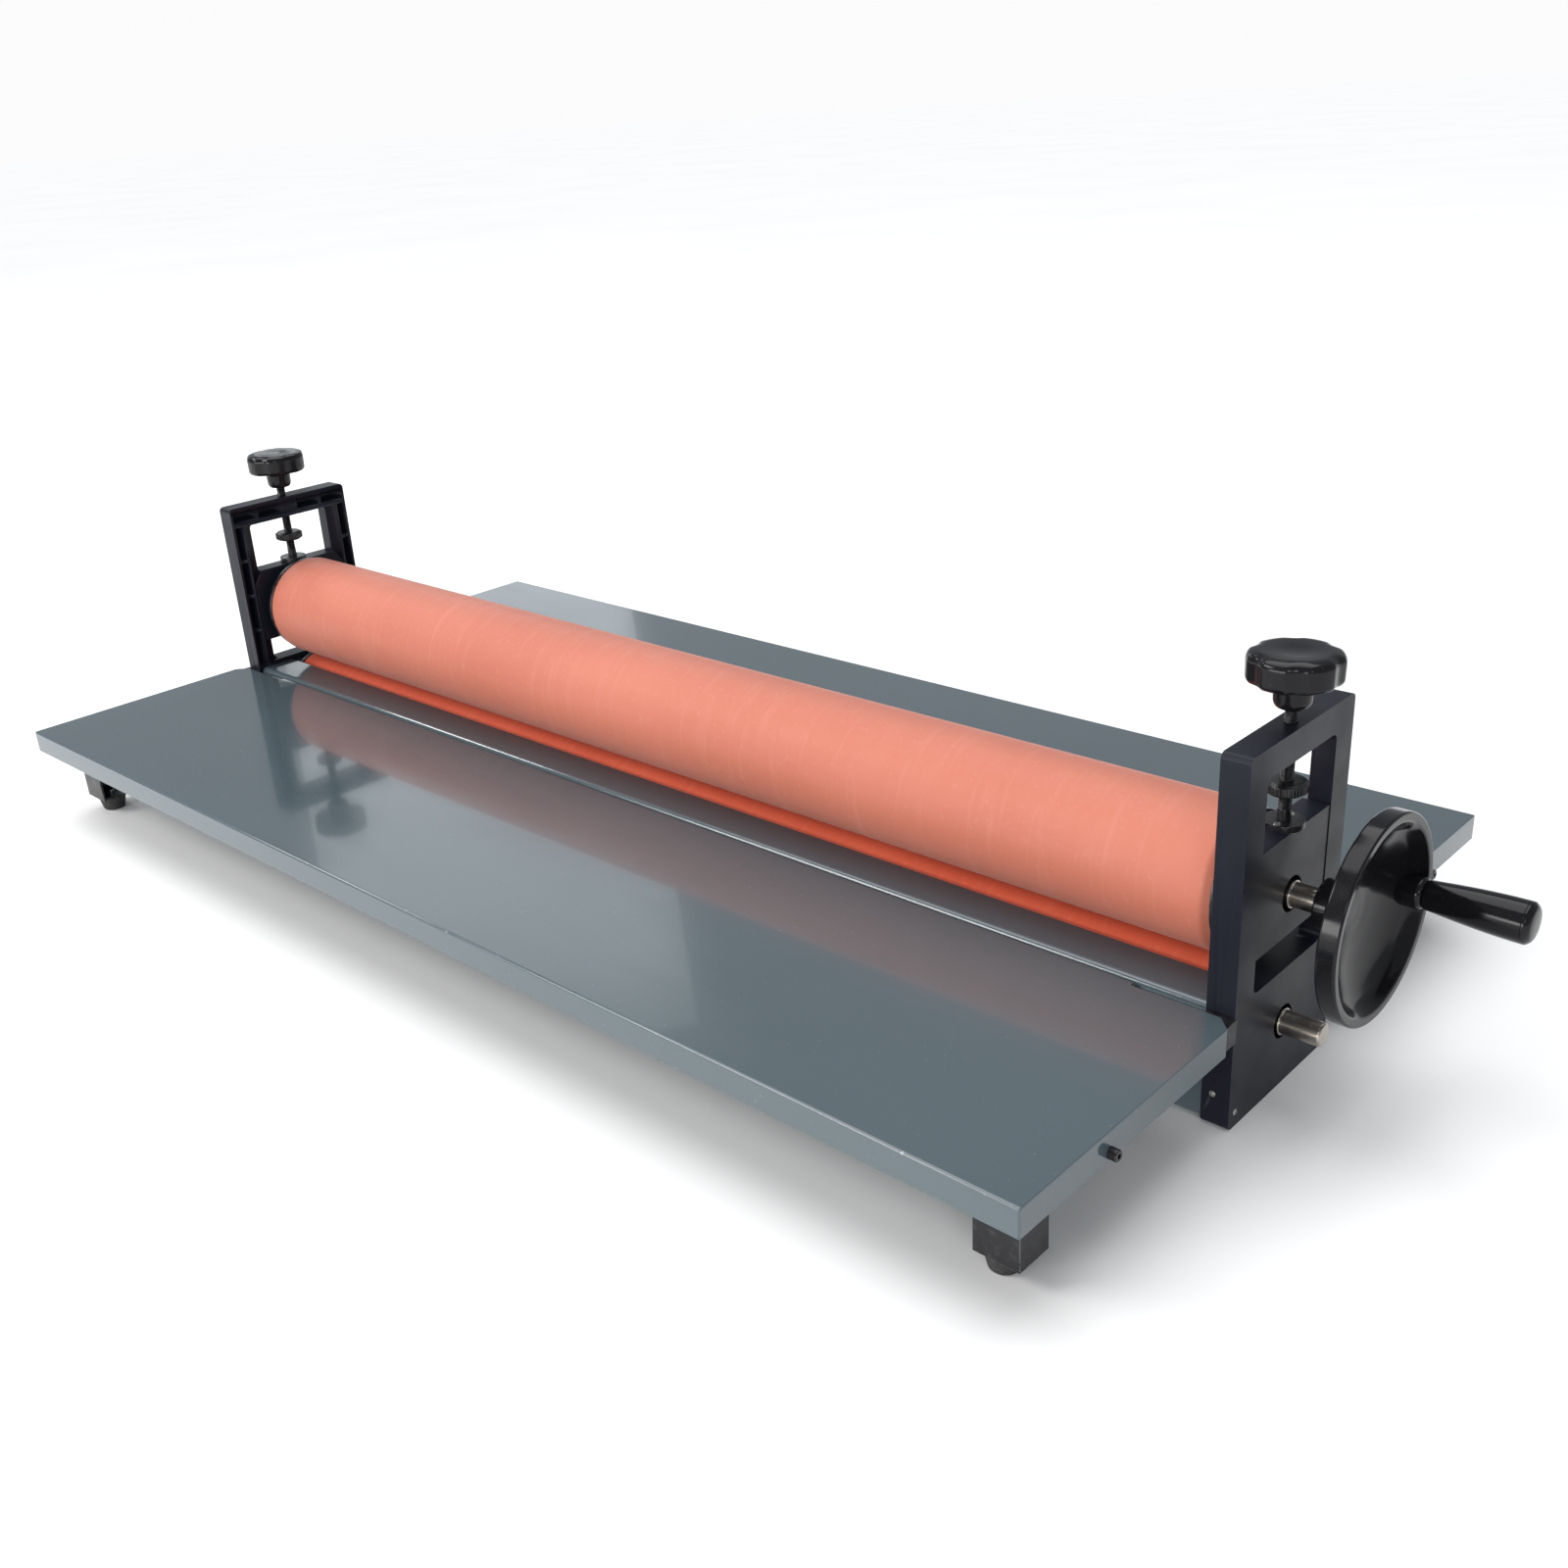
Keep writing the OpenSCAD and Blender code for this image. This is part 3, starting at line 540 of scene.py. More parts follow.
def turned(
    outline: Sequence[Corner],
    middle: Vector,
    axis: Axis,
    segments: int = 96,
    swell: Swell | None = None,
    steps: int = 4,
) -> Mesh:
    """Turns a half section about an axis into a closed solid.

    Args:
        outline: the corners; a section that starts and ends on the axis is closed by poles,
            any other is closed from its last corner to its first.
        middle: a point on the axis, with 0 along the axis itself.
        axis: the axis to turn about.
        segments: flats round the axis.
        swell: gives the radius at a radius, place and angle, for lobes and flats.
        steps: straight bits in one rounded corner.

    Returns:
        The mesh, with its faces outwards.
    """
    closed = outline[0][0] > 0 or outline[-1][0] > 0
    points = filleted(outline, closed, steps)
    vertices: list[Vector] = []
    rings: list[list[int]] = []
    for radius, along in points:
        count = 1 if radius <= 0 else segments
        ring = []
        for index in range(count):
            angle = 2 * math.pi * index / segments
            reach = swell(radius, along, angle) if swell and radius > 0 else radius
            spot = {
                Axis.X: (along, reach * math.cos(angle), reach * math.sin(angle)),
                Axis.Y: (reach * math.cos(angle), along, reach * math.sin(angle)),
                Axis.Z: (reach * math.cos(angle), reach * math.sin(angle), along),
            }[axis]
            ring.append(len(vertices))
            vertices.append(middle + Vector(spot))
        rings.append(ring)
    faces = []
    pairs = list(zip(rings, rings[1:])) + ([(rings[-1], rings[0])] if closed else [])
    for low, high in pairs:
        if len(low) == 1 and len(high) == 1:
            continue
        for index in range(segments):
            after = (index + 1) % segments
            if len(low) == 1:
                faces.append((low[0], high[after], high[index]))
            elif len(high) == 1:
                faces.append((low[index], low[after], high[0]))
            else:
                faces.append((low[index], low[after], high[after], high[index]))
    mesh = bpy.data.meshes.new("turned")
    mesh.from_pydata(vertices, [], faces)
    return outward(mesh)


def outward(mesh: Mesh) -> Mesh:
    """Merges a mesh's doubles and turns its faces outwards.

    Args:
        mesh: the mesh to mend.

    Returns:
        The same mesh.
    """
    work = bmesh.new()
    work.from_mesh(mesh)
    bmesh.ops.remove_doubles(work, verts=work.verts, dist=MERGE)
    bmesh.ops.recalc_face_normals(work, faces=work.faces)
    work.to_mesh(mesh)
    work.free()
    mesh.update()
    return mesh


def joined(meshes: Sequence[Mesh]) -> Mesh:
    """Puts several meshes into one.

    Args:
        meshes: the meshes, which are used up.

    Returns:
        One mesh that holds them all.
    """
    work = bmesh.new()
    for mesh in meshes:
        work.from_mesh(mesh)
    whole = bpy.data.meshes.new("joined")
    work.to_mesh(whole)
    work.free()
    return whole


def moved(mesh: Mesh, place: Vector, lean: Matrix | None = None) -> Mesh:
    """Moves a mesh, after turning it.

    Args:
        mesh: the mesh, near the origin.
        place: where its origin goes.
        lean: how it is turned first.

    Returns:
        The same mesh.
    """
    mesh.transform(Matrix.Translation(place) @ (lean.to_4x4() if lean else Matrix.Identity(4)))
    return mesh


def evaluated(holder: Thing) -> Mesh:
    """Applies an object's modifiers and removes the object.

    Args:
        holder: an object that is used only for its modifiers.

    Returns:
        The plain mesh that the modifiers give.
    """
    graph = bpy.context.evaluated_depsgraph_get()
    graph.update()
    mesh = bpy.data.meshes.new_from_object(holder.evaluated_get(graph), depsgraph=graph)
    holder.modifiers.clear()
    bpy.data.objects.remove(holder)
    return mesh


def held(mesh: Mesh) -> Thing:
    """Puts a mesh on a passing object, so that modifiers can work on it.

    Args:
        mesh: the mesh.

    Returns:
        The object, in the scene.
    """
    holder = bpy.data.objects.new("holder", mesh)
    bpy.context.scene.collection.objects.link(holder)
    return holder


def flat_regions(work: Solid) -> list[dict[bmesh.types.BMFace, None]]:
    """Finds the flat faces of a rounded solid, each as its pieces in a fixed order.

    Args:
        work: the solid, whose rounded strips have material index 1.

    Returns:
        The flat faces of three pieces or more, with the pieces as keys.
    """
    regions, seen = [], set()
    for first in work.faces:
        if first in seen or first.material_index:
            continue
        region, queue = {first: None}, [first]
        while queue:
            face = queue.pop()
            for near in (other for edge in face.edges for other in edge.link_faces):
                if near in region or near.material_index or abs(near.normal.dot(first.normal)) < FLAT:
                    continue
                region[near] = None
                queue.append(near)
        seen.update(region)
        if len(region) > 2:
            regions.append(region)
    return regions


def inside(point: Vector, corners: Sequence[Vector], rims: Sequence[tuple[int, int]]) -> bool:
    """Tells whether a flat point lies within the rims of a face, outside its holes.

    Args:
        point: the point.
        corners: the rims' corners.
        rims: the rims' lines, as pairs of corner numbers.

    Returns:
        True if a line from the point crosses the rims an odd number of times.
    """
    crossings = 0
    for first, second in rims:
        a, b = corners[first], corners[second]
        if (a.y > point.y) != (b.y > point.y):
            crossings += point.x < a.x + (point.y - a.y) * (b.x - a.x) / (b.y - a.y)
    return crossings % 2 == 1


def refill(work: Solid) -> None:
    """Fills each flat face anew between its edges, so that no sliver is left folded over.

    Args:
        work: the solid to mend.
    """
    for region in flat_regions(work):
        rim = [edge for face in region for edge in face.edges if sum(f in region for f in edge.link_faces) == 1]
        normal = sum((face.normal * face.calc_area() for face in region), Vector()).normalized()
        across = normal.orthogonal().normalized()
        up = normal.cross(across)
        corners = list(dict.fromkeys(corner for edge in rim for corner in edge.verts))
        number = {corner: index for index, corner in enumerate(corners)}
        flat = [Vector((corner.co.dot(across), corner.co.dot(up))) for corner in corners]
        rims = [(number[edge.verts[0]], number[edge.verts[1]]) for edge in rim]
        points, _, faces, sources, _, _ = delaunay_2d_cdt(flat, rims, [], 1, 1e-8)
        height = normal.dot(corners[0].co)
        made = [
            corners[source[0]] if source else work.verts.new(across * point.x + up * point.y + normal * height)
            for point, source in zip(points, sources)
        ]
        bmesh.ops.delete(work, geom=list(region), context="FACES_ONLY")
        for face in faces:
            middle = sum((points[index] for index in face), Vector((0, 0))) / len(face)
            if inside(middle, flat, rims):
                work.faces.new([made[index] for index in face])
    bmesh.ops.delete(work, geom=[edge for edge in work.edges if not edge.link_faces], context="EDGES")


@dataclass
class EdgeRounding:
    """Rounds the sharp edges of a copy of a CAD node, and less so where there is no room for it.

    The rounded strips carry 1 in the face attribute "edge", which the paints read.
    """

    node: str
    edge: float
    fine: float
    angle: float = 40.0
    tries: int = 18
    least: float = 0.08  # a smaller share of the rounding is left out
    reach: float = 1.6  # how far a flaw is felt, in widths of the rounding
    reach_more: float = 0.3 * MM
    fold: float = -0.5  # cosine between faces that are folded over
    speck: float = 1e-9  # area of a face too small to matter
    on_side: float = 1e-5  # how near to a side of the box a corner lies on it

    def plain(self) -> Solid:
        """Copies the node with whole flat faces, and sets how wide each edge is rounded.

        Returns:
            The copy; an edge of full weight gets the rounding of the box's own edges.
        """
        low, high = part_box(self.node)

        def planes(corner: bmesh.types.BMVert) -> set[tuple[int, bool]]:
            """Lists the sides of the node's box, without the underside, that a corner lies on."""
            return {
                (axis, side is high)
                for axis in range(3) for side in (low, high)
                if abs(corner.co[axis] - side[axis]) < self.on_side and (axis < 2 or side is high)
            }

        work = bmesh.new()
        work.from_mesh(bpy.data.objects[self.node].data)
        bmesh.ops.remove_doubles(work, verts=work.verts, dist=NEAR)
        bmesh.ops.join_triangles(
            work, faces=work.faces, angle_face_threshold=math.radians(0.5), angle_shape_threshold=math.radians(60)
        )
        weight = work.edges.layers.float.new("bevel_weight_edge")
        for line in work.edges:
            if line.is_convex and line.calc_face_angle(0.0) > math.radians(self.angle):
                shared = planes(line.verts[0]) & planes(line.verts[1])
                line[weight] = 1.0 if len(shared) > 1 else self.fine / self.edge
        for face in work.faces:
            face.material_index = 0
        return work

    def rounded(self, plain: Solid) -> Solid:
        """Rounds the weighted edges and fills the flat faces anew.

        Args:
            plain: the copy of the node.

        Returns:
            The rounded solid.
        """
        mesh = bpy.data.meshes.new(self.node)
        plain.to_mesh(mesh)
        for _ in range(2):
            mesh.materials.append(None)
        holder = held(mesh)
        bevel = holder.modifiers.new("rounding", "BEVEL")
        bevel.width, bevel.segments, bevel.material = self.edge, 3, 1
        bevel.limit_method, bevel.use_clamp_overlap = "WEIGHT", False
        made = evaluated(holder)
        work = bmesh.new()
        work.from_mesh(made)
        refill(work)
        bpy.data.meshes.remove(made)
        return work

    def flaws(self, work: Solid) -> list[Vector]:
        """Lists the places where a rounded solid is open or folded over."""
        test = work.copy()
        bmesh.ops.triangulate(test, faces=test.faces)
        places: dict[tuple[int, ...], Vector] = {}
        for line in test.edges:
            near = line.link_faces
            if len(near) == 2 and (
                near[0].normal.dot(near[1].normal) > self.fold
                or min(near[0].calc_area(), near[1].calc_area()) < self.speck
            ):
                continue
            for corner in line.verts:
                places.setdefault(tuple(round(2 * value / MM) for value in corner.co), corner.co.copy())
        test.free()
        return list(places.values())

    def ease(self, plain: Solid, places: Sequence[Vector]) -> None:
        """Halves the rounding of the edges near the given places.

        Args:
            plain: the copy of the node.
            places: where the rounding was too wide.
        """
        weight = plain.edges.layers.float["bevel_weight_edge"]
        for line in plain.edges:
            if not line[weight]:
                continue
            reach = self.reach * self.edge * line[weight] + self.reach_more
            start, along = line.verts[0].co, line.verts[1].co - line.verts[0].co
            for place in places:
                share = min(max((place - start).dot(along) / max(along.length_squared, 1e-18), 0.0), 1.0)
                if (start + along * share - place).length < reach:
                    line[weight] = line[weight] / 2 if line[weight] > 2 * self.least else 0.0
                    break

    def build(self) -> Mesh:
        """Rounds the copy until it is closed and nowhere folded.

        Returns:
            The rounded mesh.
        """
        plain = self.plain()
        for _ in range(self.tries):
            work = self.rounded(plain)
            places = self.flaws(work)
            if not places:
                break
            self.ease(plain, places)
            work.free()
        else:
            work = plain.copy()
        made = bpy.data.meshes.new(self.node)
        flags = [float(face.material_index == 1) for face in work.faces]
        for face in work.faces:
            face.material_index = 0
        work.to_mesh(made)
        work.free()
        plain.free()
        made.attributes.new("edge", "FLOAT", "FACE").data.foreach_set("value", flags)
        return made


# ---- Geometry nodes for what repeats ----


class NodeRecipe(NodeBoard):
    """A geometry node tree that is built here, run once for a mesh, and then dropped."""

    def __init__(self, name: str) -> None:
        """Starts a tree with one geometry input and one geometry output.

        Args:
            name: the tree's name.
        """
        self.tree = bpy.data.node_groups.new(name, "GeometryNodeTree")
        for way in ("INPUT", "OUTPUT"):
            self.tree.interface.new_socket(name="Geometry", in_out=way, socket_type="NodeSocketGeometry")
        self.inputs = self.tree.nodes.new("NodeGroupInput")
        self.outputs = self.tree.nodes.new("NodeGroupOutput")
        self.identifiers: dict[str, str] = {}

    def size(self, name: str, kind: str = "NodeSocketFloat") -> Socket:
        """Adds a named input.

        Args:
            name: the input's name.
            kind: its socket type.

        Returns:
            The socket that gives its value inside the tree.
        """
        made = self.tree.interface.new_socket(name=name, in_out="INPUT", socket_type=kind)
        self.identifiers[name] = made.identifier
        return self.inputs.outputs[name]

    def sum(self, operation: str, *values: object) -> Socket:
        """Adds a math node and returns its result."""
        return self.node("ShaderNodeMath", dict(enumerate(values)), operation=operation).outputs[0]

    def vector(self, x: object, y: object, z: object) -> Socket:
        """Joins three values to a vector."""
        return self.node("ShaderNodeCombineXYZ", {0: x, 1: y, 2: z}).outputs[0]

    def end(self, geometry: Socket, material: Material) -> None:
        """Closes the tree with real meshes and their material.

        Args:
            geometry: what the tree has made.
            material: the finish of all of it.
        """
        real = self.node("GeometryNodeRealizeInstances", {0: geometry})
        dressed = self.node("GeometryNodeSetMaterial", {"Geometry": real.outputs[0], "Material": material})
        self.tree.links.new(dressed.outputs[0], self.outputs.inputs[0])

    def run(self, start: Mesh, **values: object) -> Mesh:
        """Runs the tree once.

        Args:
            start: the mesh on its geometry input.
            values: its named inputs, with underscores for spaces.

        Returns:
            The plain mesh that it makes.
        """
        holder = held(start)
        work = holder.modifiers.new(self.tree.name, "NODES")
        work.node_group = self.tree
        for key, value in values.items():
            work[self.identifiers[key.replace("_", " ")]] = value
        return evaluated(holder)


def four_corner_recipe(material: Material) -> NodeRecipe:
    """Sets one screw at each of the four corners of a rectangle about the z axis.

    Each screw leans outwards by its two lean angles and has a random turn of its own.

    Args:
        material: the screws' finish.

    Returns:
        The tree, whose geometry input is one screw that points up from the origin.
    """
    recipe = NodeRecipe("four_corners")
    reach_x, reach_y, height = (recipe.size(name) for name in ("Reach X", "Reach Y", "Height"))
    lean_x, lean_y = recipe.size("Lean X"), recipe.size("Lean Y")
    seed = recipe.size("Seed", "NodeSocketInt")
    grid = recipe.node(
        "GeometryNodeMeshGrid",
        {
            "Size X": recipe.sum("MULTIPLY", reach_x, 2.0),
            "Size Y": recipe.sum("MULTIPLY", reach_y, 2.0),
            "Vertices X": 2,
            "Vertices Y": 2,
        },
    )
    raised = recipe.node(
        "GeometryNodeSetPosition", {"Geometry": grid.outputs["Mesh"], "Offset": recipe.vector(0.0, 0.0, height)}
    )
    place = recipe.node("ShaderNodeSeparateXYZ", {0: recipe.node("GeometryNodeInputPosition").outputs[0]})
    lean = recipe.vector(
        recipe.sum("MULTIPLY", recipe.sum("SIGN", place.outputs["Y"]), lean_x),
        recipe.sum("MULTIPLY", recipe.sum("SIGN", place.outputs["X"]), lean_y),
        0.0,
    )
    screws = recipe.node(
        "GeometryNodeInstanceOnPoints",
        {
            "Points": raised.outputs["Geometry"],
            "Instance": recipe.inputs.outputs["Geometry"],
            "Rotation": recipe.node("FunctionNodeEulerToRotation", {0: lean}).outputs[0],
        },
    )
    chance = recipe.node("FunctionNodeRandomValue", {"Seed": seed}, data_type="FLOAT")
    chance.inputs[3].default_value = 2 * math.pi
    spin = recipe.node(
        "FunctionNodeEulerToRotation", {0: recipe.vector(0.0, 0.0, chance.outputs[1])}
    )
    turned_round = recipe.node(
        "GeometryNodeRotateInstances", {"Instances": screws.outputs[0], "Rotation": spin.outputs[0]}
    )
    recipe.end(turned_round.outputs[0], material)
    return recipe


def ring_recipe(material: Material) -> NodeRecipe:
    """Sets a piece many times on a circle about the z axis, for knurls and bearing balls.

    Args:
        material: the pieces' finish.

    Returns:
        The tree, whose geometry input is one piece at the origin.
    """
    recipe = NodeRecipe("ring")
    count, radius = recipe.size("Count", "NodeSocketInt"), recipe.size("Radius")
    circle = recipe.node("GeometryNodeMeshCircle", {"Vertices": count, "Radius": radius})
    row = recipe.node(
        "GeometryNodeInstanceOnPoints",
        {"Points": circle.outputs["Mesh"], "Instance": recipe.inputs.outputs["Geometry"]},
    )
    recipe.end(row.outputs[0], material)
    return recipe


def thread_recipe(material: Material) -> NodeRecipe:
    """Makes a threaded rod about the z axis, from 0 up, as one rolled-up grid.

    Args:
        material: the rod's finish.

    Returns:
        The tree; its geometry input isn't used.
    """
    recipe = NodeRecipe("thread")
    length, radius, depth = (recipe.size(name) for name in ("Length", "Radius", "Depth"))
    pitch, plain = recipe.size("Pitch"), recipe.size("Plain End")
    around, rows = recipe.size("Around", "NodeSocketInt"), recipe.size("Rows", "NodeSocketInt")
    grid = recipe.node(
        "GeometryNodeMeshGrid",
        {"Size X": 2 * math.pi, "Size Y": length, "Vertices X": around, "Vertices Y": rows},
    )
    place = recipe.node("ShaderNodeSeparateXYZ", {0: recipe.node("GeometryNodeInputPosition").outputs[0]})
    angle, along = place.outputs["X"], place.outputs["Y"]
    height = recipe.sum("ADD", along, recipe.sum("MULTIPLY", length, 0.5))
    phase = recipe.sum(
        "SUBTRACT", recipe.sum("DIVIDE", height, pitch), recipe.sum("DIVIDE", angle, 2 * math.pi)
    )
    crest = recipe.sum("PINGPONG", phase, 0.5)
    groove = recipe.sum("MULTIPLY", recipe.sum("MULTIPLY", crest, 2.0), depth)
    threaded = recipe.sum("GREATER_THAN", height, plain)
    edge = recipe.sum("SUBTRACT", recipe.sum("MULTIPLY", length, 0.5), 1e-5)
    inside = recipe.sum("LESS_THAN", recipe.sum("ABSOLUTE", along), edge)
    reach = recipe.sum("SUBTRACT", radius, recipe.sum("MULTIPLY", groove, threaded))
    reach = recipe.sum("MULTIPLY", reach, inside)
    rolled = recipe.node(
        "GeometryNodeSetPosition",
        {
            "Geometry": grid.outputs["Mesh"],
            "Position": recipe.vector(
                recipe.sum("MULTIPLY", reach, recipe.sum("COSINE", angle)),
                recipe.sum("MULTIPLY", reach, recipe.sum("SINE", angle)),
                height,
            ),
        },
    )
    sealed = recipe.node("GeometryNodeMergeByDistance", {"Geometry": rolled.outputs[0], "Distance": 1e-6})
    recipe.end(sealed.outputs[0], material)
    return recipe


# ---- The workshop ----


class Workshop:
    """Keeps the finishes and puts each finished piece on the machine."""

    def __init__(self) -> None:
        """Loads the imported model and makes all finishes."""
        self.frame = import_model()
        self.cad_box = [list(corner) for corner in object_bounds()]
        self.finishes = {finish.slot: finish.build() for finish in FINISHES}

    def span(self, node: str) -> Span:
        """Gives the box of a CAD node."""
        return Span(*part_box(node))

    def add(
        self,
        name: str,
        mesh: Mesh,
        slot: Slot,
        body: Body,
        stands_for: Sequence[str],
        sharp: float = 38.0,
    ) -> Thing:
        """Puts a finished piece on a body, in place of its CAD nodes.

        Args:
            name: the piece's name.
            mesh: its mesh, in place.
            slot: its finish.
            body: the body that it rides on.
            stands_for: the CAD nodes that it replaces.
            sharp: edges sharper than this stay crisp, in degrees.

        Returns:
            The new object.
        """
        mesh.name = name
        mesh.materials.clear()
        mesh.materials.append(self.finishes[slot])
        mesh.polygons.foreach_set("use_smooth", [True] * len(mesh.polygons))
        mesh.set_sharp_from_angle(angle=math.radians(sharp))
        holder = held(mesh)
        even = holder.modifiers.new("even_shading", "WEIGHTED_NORMAL")
        even.keep_sharp = True
        plain = evaluated(holder)
        plain.name = name
        piece = bpy.data.objects.new(name, plain)
        bpy.context.scene.collection.objects.link(piece)
        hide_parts(*stands_for)
        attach(piece, body.value)
        LOG.info("%s: %d faces on %s", name, len(plain.polygons), body.value)
        return piece

    def round_off(
        self, nodes: Sequence[str], edge: float, slot: Slot, body: Body, fine: float | None = None
    ) -> None:
        """Replaces CAD nodes by copies with rounded edges.

        Args:
            nodes: the CAD nodes.
            edge: width of the rounding along the edges of each node's own box.
            slot: their finish.
            body: the body that they ride on.
            fine: width of the rounding elsewhere, or the same if it isn't given.
        """
        for node in nodes:
            self.add(f"{node}_finished", EdgeRounding(node, edge, fine or edge).build(), slot, body, [node])


@dataclass(frozen=True)
class ScrewSet:
    """Four equal screws, one at each corner of the machine, that stand for one CAD node."""

    node: str
    head_radius: float
    head_height: float
    shank_radius: float
    shank_length: float
    slot: Slot
    body: Body
    axis: Axis
    down: bool = False
    socket: float = 0.5
    seed: int = 7

    def screw(self) -> Mesh:
        """Makes one socket screw whose head ends at the origin and points up."""
        r, h, s = self.head_radius, self.head_height, self.head_radius * self.socket
        deep = -0.7 * h
        outline = [
            (0, deep, 0), (s, deep, 0), (s, 0, 0.06 * r), (0.86 * r, 0, 0), (r, -0.14 * r, 0.1 * r),
            (r, -h, 0.1 * MM), (self.shank_radius, -h, 0.2 * MM),
            (self.shank_radius, -h - self.shank_length, 0.3 * MM), (0, -h - self.shank_length, 0),
        ]

        def hexagon(radius: float, along: float, angle: float) -> float:
            """Flattens the socket's wall to six sides."""
            if radius > 1.08 * s or along < deep - 1e-6:
                return radius
            sixth = math.pi / 3
            return radius * math.cos(sixth / 2) / math.cos(angle % sixth - sixth / 2)

        return turned(outline, Vector(), Axis.Z, 48, hexagon, 2)

    def build(self, shop: Workshop) -> None:
        """Sets the four screws."""
        span, r = shop.span(self.node), self.head_radius
        reach = [span.high.x, span.high.y]
        lean = {Axis.X: (0.0, math.pi / 2), Axis.Y: (-math.pi / 2, 0.0), Axis.Z: (0.0, 0.0)}[self.axis]
        if self.axis is not Axis.X:
            reach[0] -= r
        if self.axis is not Axis.Y:
            reach[1] -= r
        height = span.middle.z
        screw = self.screw()
        if self.axis is Axis.Z:
            height = span.low.z if self.down else span.high.z
            if self.down:
                screw.transform(Matrix.Rotation(math.pi, 4, "X"))
        recipe = four_corner_recipe(shop.finishes[self.slot])
        mesh = recipe.run(
            screw, Reach_X=reach[0], Reach_Y=reach[1], Height=height, Lean_X=lean[0], Lean_Y=lean[1], Seed=self.seed
        )
        shop.add(f"{self.node}_set", mesh, self.slot, self.body, [self.node])


# ---- Sub-assemblies ----


@dataclass(frozen=True)
class SideFrames:
    """The two cast side frames with their small screws."""

    edge: float = 1.0 * MM

    def build(self, shop: Workshop) -> None:
        """Makes the frames and their screws."""
        shop.round_off([f"side_frame_{side.value}" for side in Side], self.edge, Slot.FRAME_PAINT, Body.STAND)
        ScrewSet(
            "base_screws", 2.0 * MM, 1.6 * MM, 1.6 * MM, 19 * MM, Slot.ZINC_STEEL, Body.STAND, Axis.X
        ).build(shop)
        ScrewSet(
            "frame_set_screws", 2.0 * MM, 1.6 * MM, 1.9 * MM, 4 * MM, Slot.ZINC_STEEL, Body.STAND, Axis.Y
        ).build(shop)


@dataclass(frozen=True)
class BearingBlocks:
    """The sliding blocks with their thrust collars."""

    edge: float = 0.7 * MM
    collar_edge: float = 0.4 * MM

    def build(self, shop: Workshop) -> None:
        """Makes the blocks, the collars and their screws."""
        sides = [side.value for side in Side]
        shop.round_off([f"bearing_block_{side}" for side in sides], self.edge, Slot.FRAME_PAINT, Body.CARRIAGE)
        shop.round_off(
            [f"thrust_collar_{side}" for side in sides], self.collar_edge, Slot.BLACK_STEEL, Body.CARRIAGE
        )
        ScrewSet(
            "collar_screws", 2.25 * MM, 1.6 * MM, 1.25 * MM, 9 * MM, Slot.ZINC_STEEL, Body.CARRIAGE, Axis.Z
        ).build(shop)


@dataclass(frozen=True)
class BallBearings:
    """One pair of ball bearings: outer and inner rings, and the balls between them."""

    name: str
    outer_body: Body
    inner_body: Body
    ball_radius: float = 2.5 * MM
    balls: int = 10
    ring_edge: float = 0.15 * MM

    def build(self, shop: Workshop) -> None:
        """Makes the rings and sets the balls."""
        for kind, body in (("outer", self.outer_body), ("inner", self.inner_body)):
            nodes = [f"{self.name}_bearing_{kind}_{side.value}" for side in Side]
            shop.round_off(nodes, self.ring_edge, Slot.BEARING_STEEL, body)
        group = shop.span(f"{self.name}_bearing_balls")
        circle = group.size.z / 2 - self.ball_radius
        rings = []
        for x in (group.low.x + self.ball_radius, group.high.x - self.ball_radius):
            ball = turned(self.half_circle(), Vector(), Axis.Z, 20)
            ring = ring_recipe(shop.finishes[Slot.BEARING_STEEL]).run(ball, Count=self.balls, Radius=circle)
            rings.append(moved(ring, Vector((x, 0, group.middle.z)), Matrix.Rotation(math.pi / 2, 3, "Y")))
        shop.add(
            f"{self.name}_balls_set", joined(rings), Slot.BEARING_STEEL, self.outer_body,
            [f"{self.name}_bearing_balls"],
        )

    def half_circle(self) -> list[Corner]:
        """Gives the half section of one ball."""
        r, arcs = self.ball_radius, 12
        angles = (math.pi * step / arcs for step in range(1, arcs))
        return [(0, -r, 0), *((r * math.sin(a), -r * math.cos(a), 0) for a in angles), (0, r, 0)]


@dataclass(frozen=True)
class Base:
    """The folded channel between the side frames."""

    fold: float = 1.0 * MM
    cut_edge: float = 0.5 * MM

    def build(self, shop: Workshop) -> None:
        """Makes the base."""
        shop.round_off(["base_channel"], self.fold, Slot.TABLE_PAINT, Body.STAND, self.cut_edge)


@dataclass(frozen=True)
class FeedTables:
    """The two folded feed tables with the arms that carry them."""

    fold: float = 1.4 * MM
    cut_edge: float = 0.4 * MM
    arm_edge: float = 0.5 * MM

    def build(self, shop: Workshop) -> None:
        """Makes the tables, their arms and the screws."""
        tables = [f"{end.value}_table" for end in End]
        shop.round_off(tables, self.fold, Slot.TABLE_PAINT, Body.STAND, self.cut_edge)
        arms = [f"table_arm_{end.value}_{side.value}" for end in End for side in Side]
        shop.round_off(arms, self.arm_edge, Slot.BLACK_STEEL, Body.STAND)
        ScrewSet(
            "table_side_screws", 3.5 * MM, 5.5 * MM, 2.0 * MM, 9 * MM, Slot.BLACK_STEEL, Body.STAND, Axis.X
        ).build(shop)
        ScrewSet(
            "arm_screws", 3.5 * MM, 2.0 * MM, 2.0 * MM, 12 * MM, Slot.ZINC_STEEL, Body.STAND, Axis.Y
        ).build(shop)


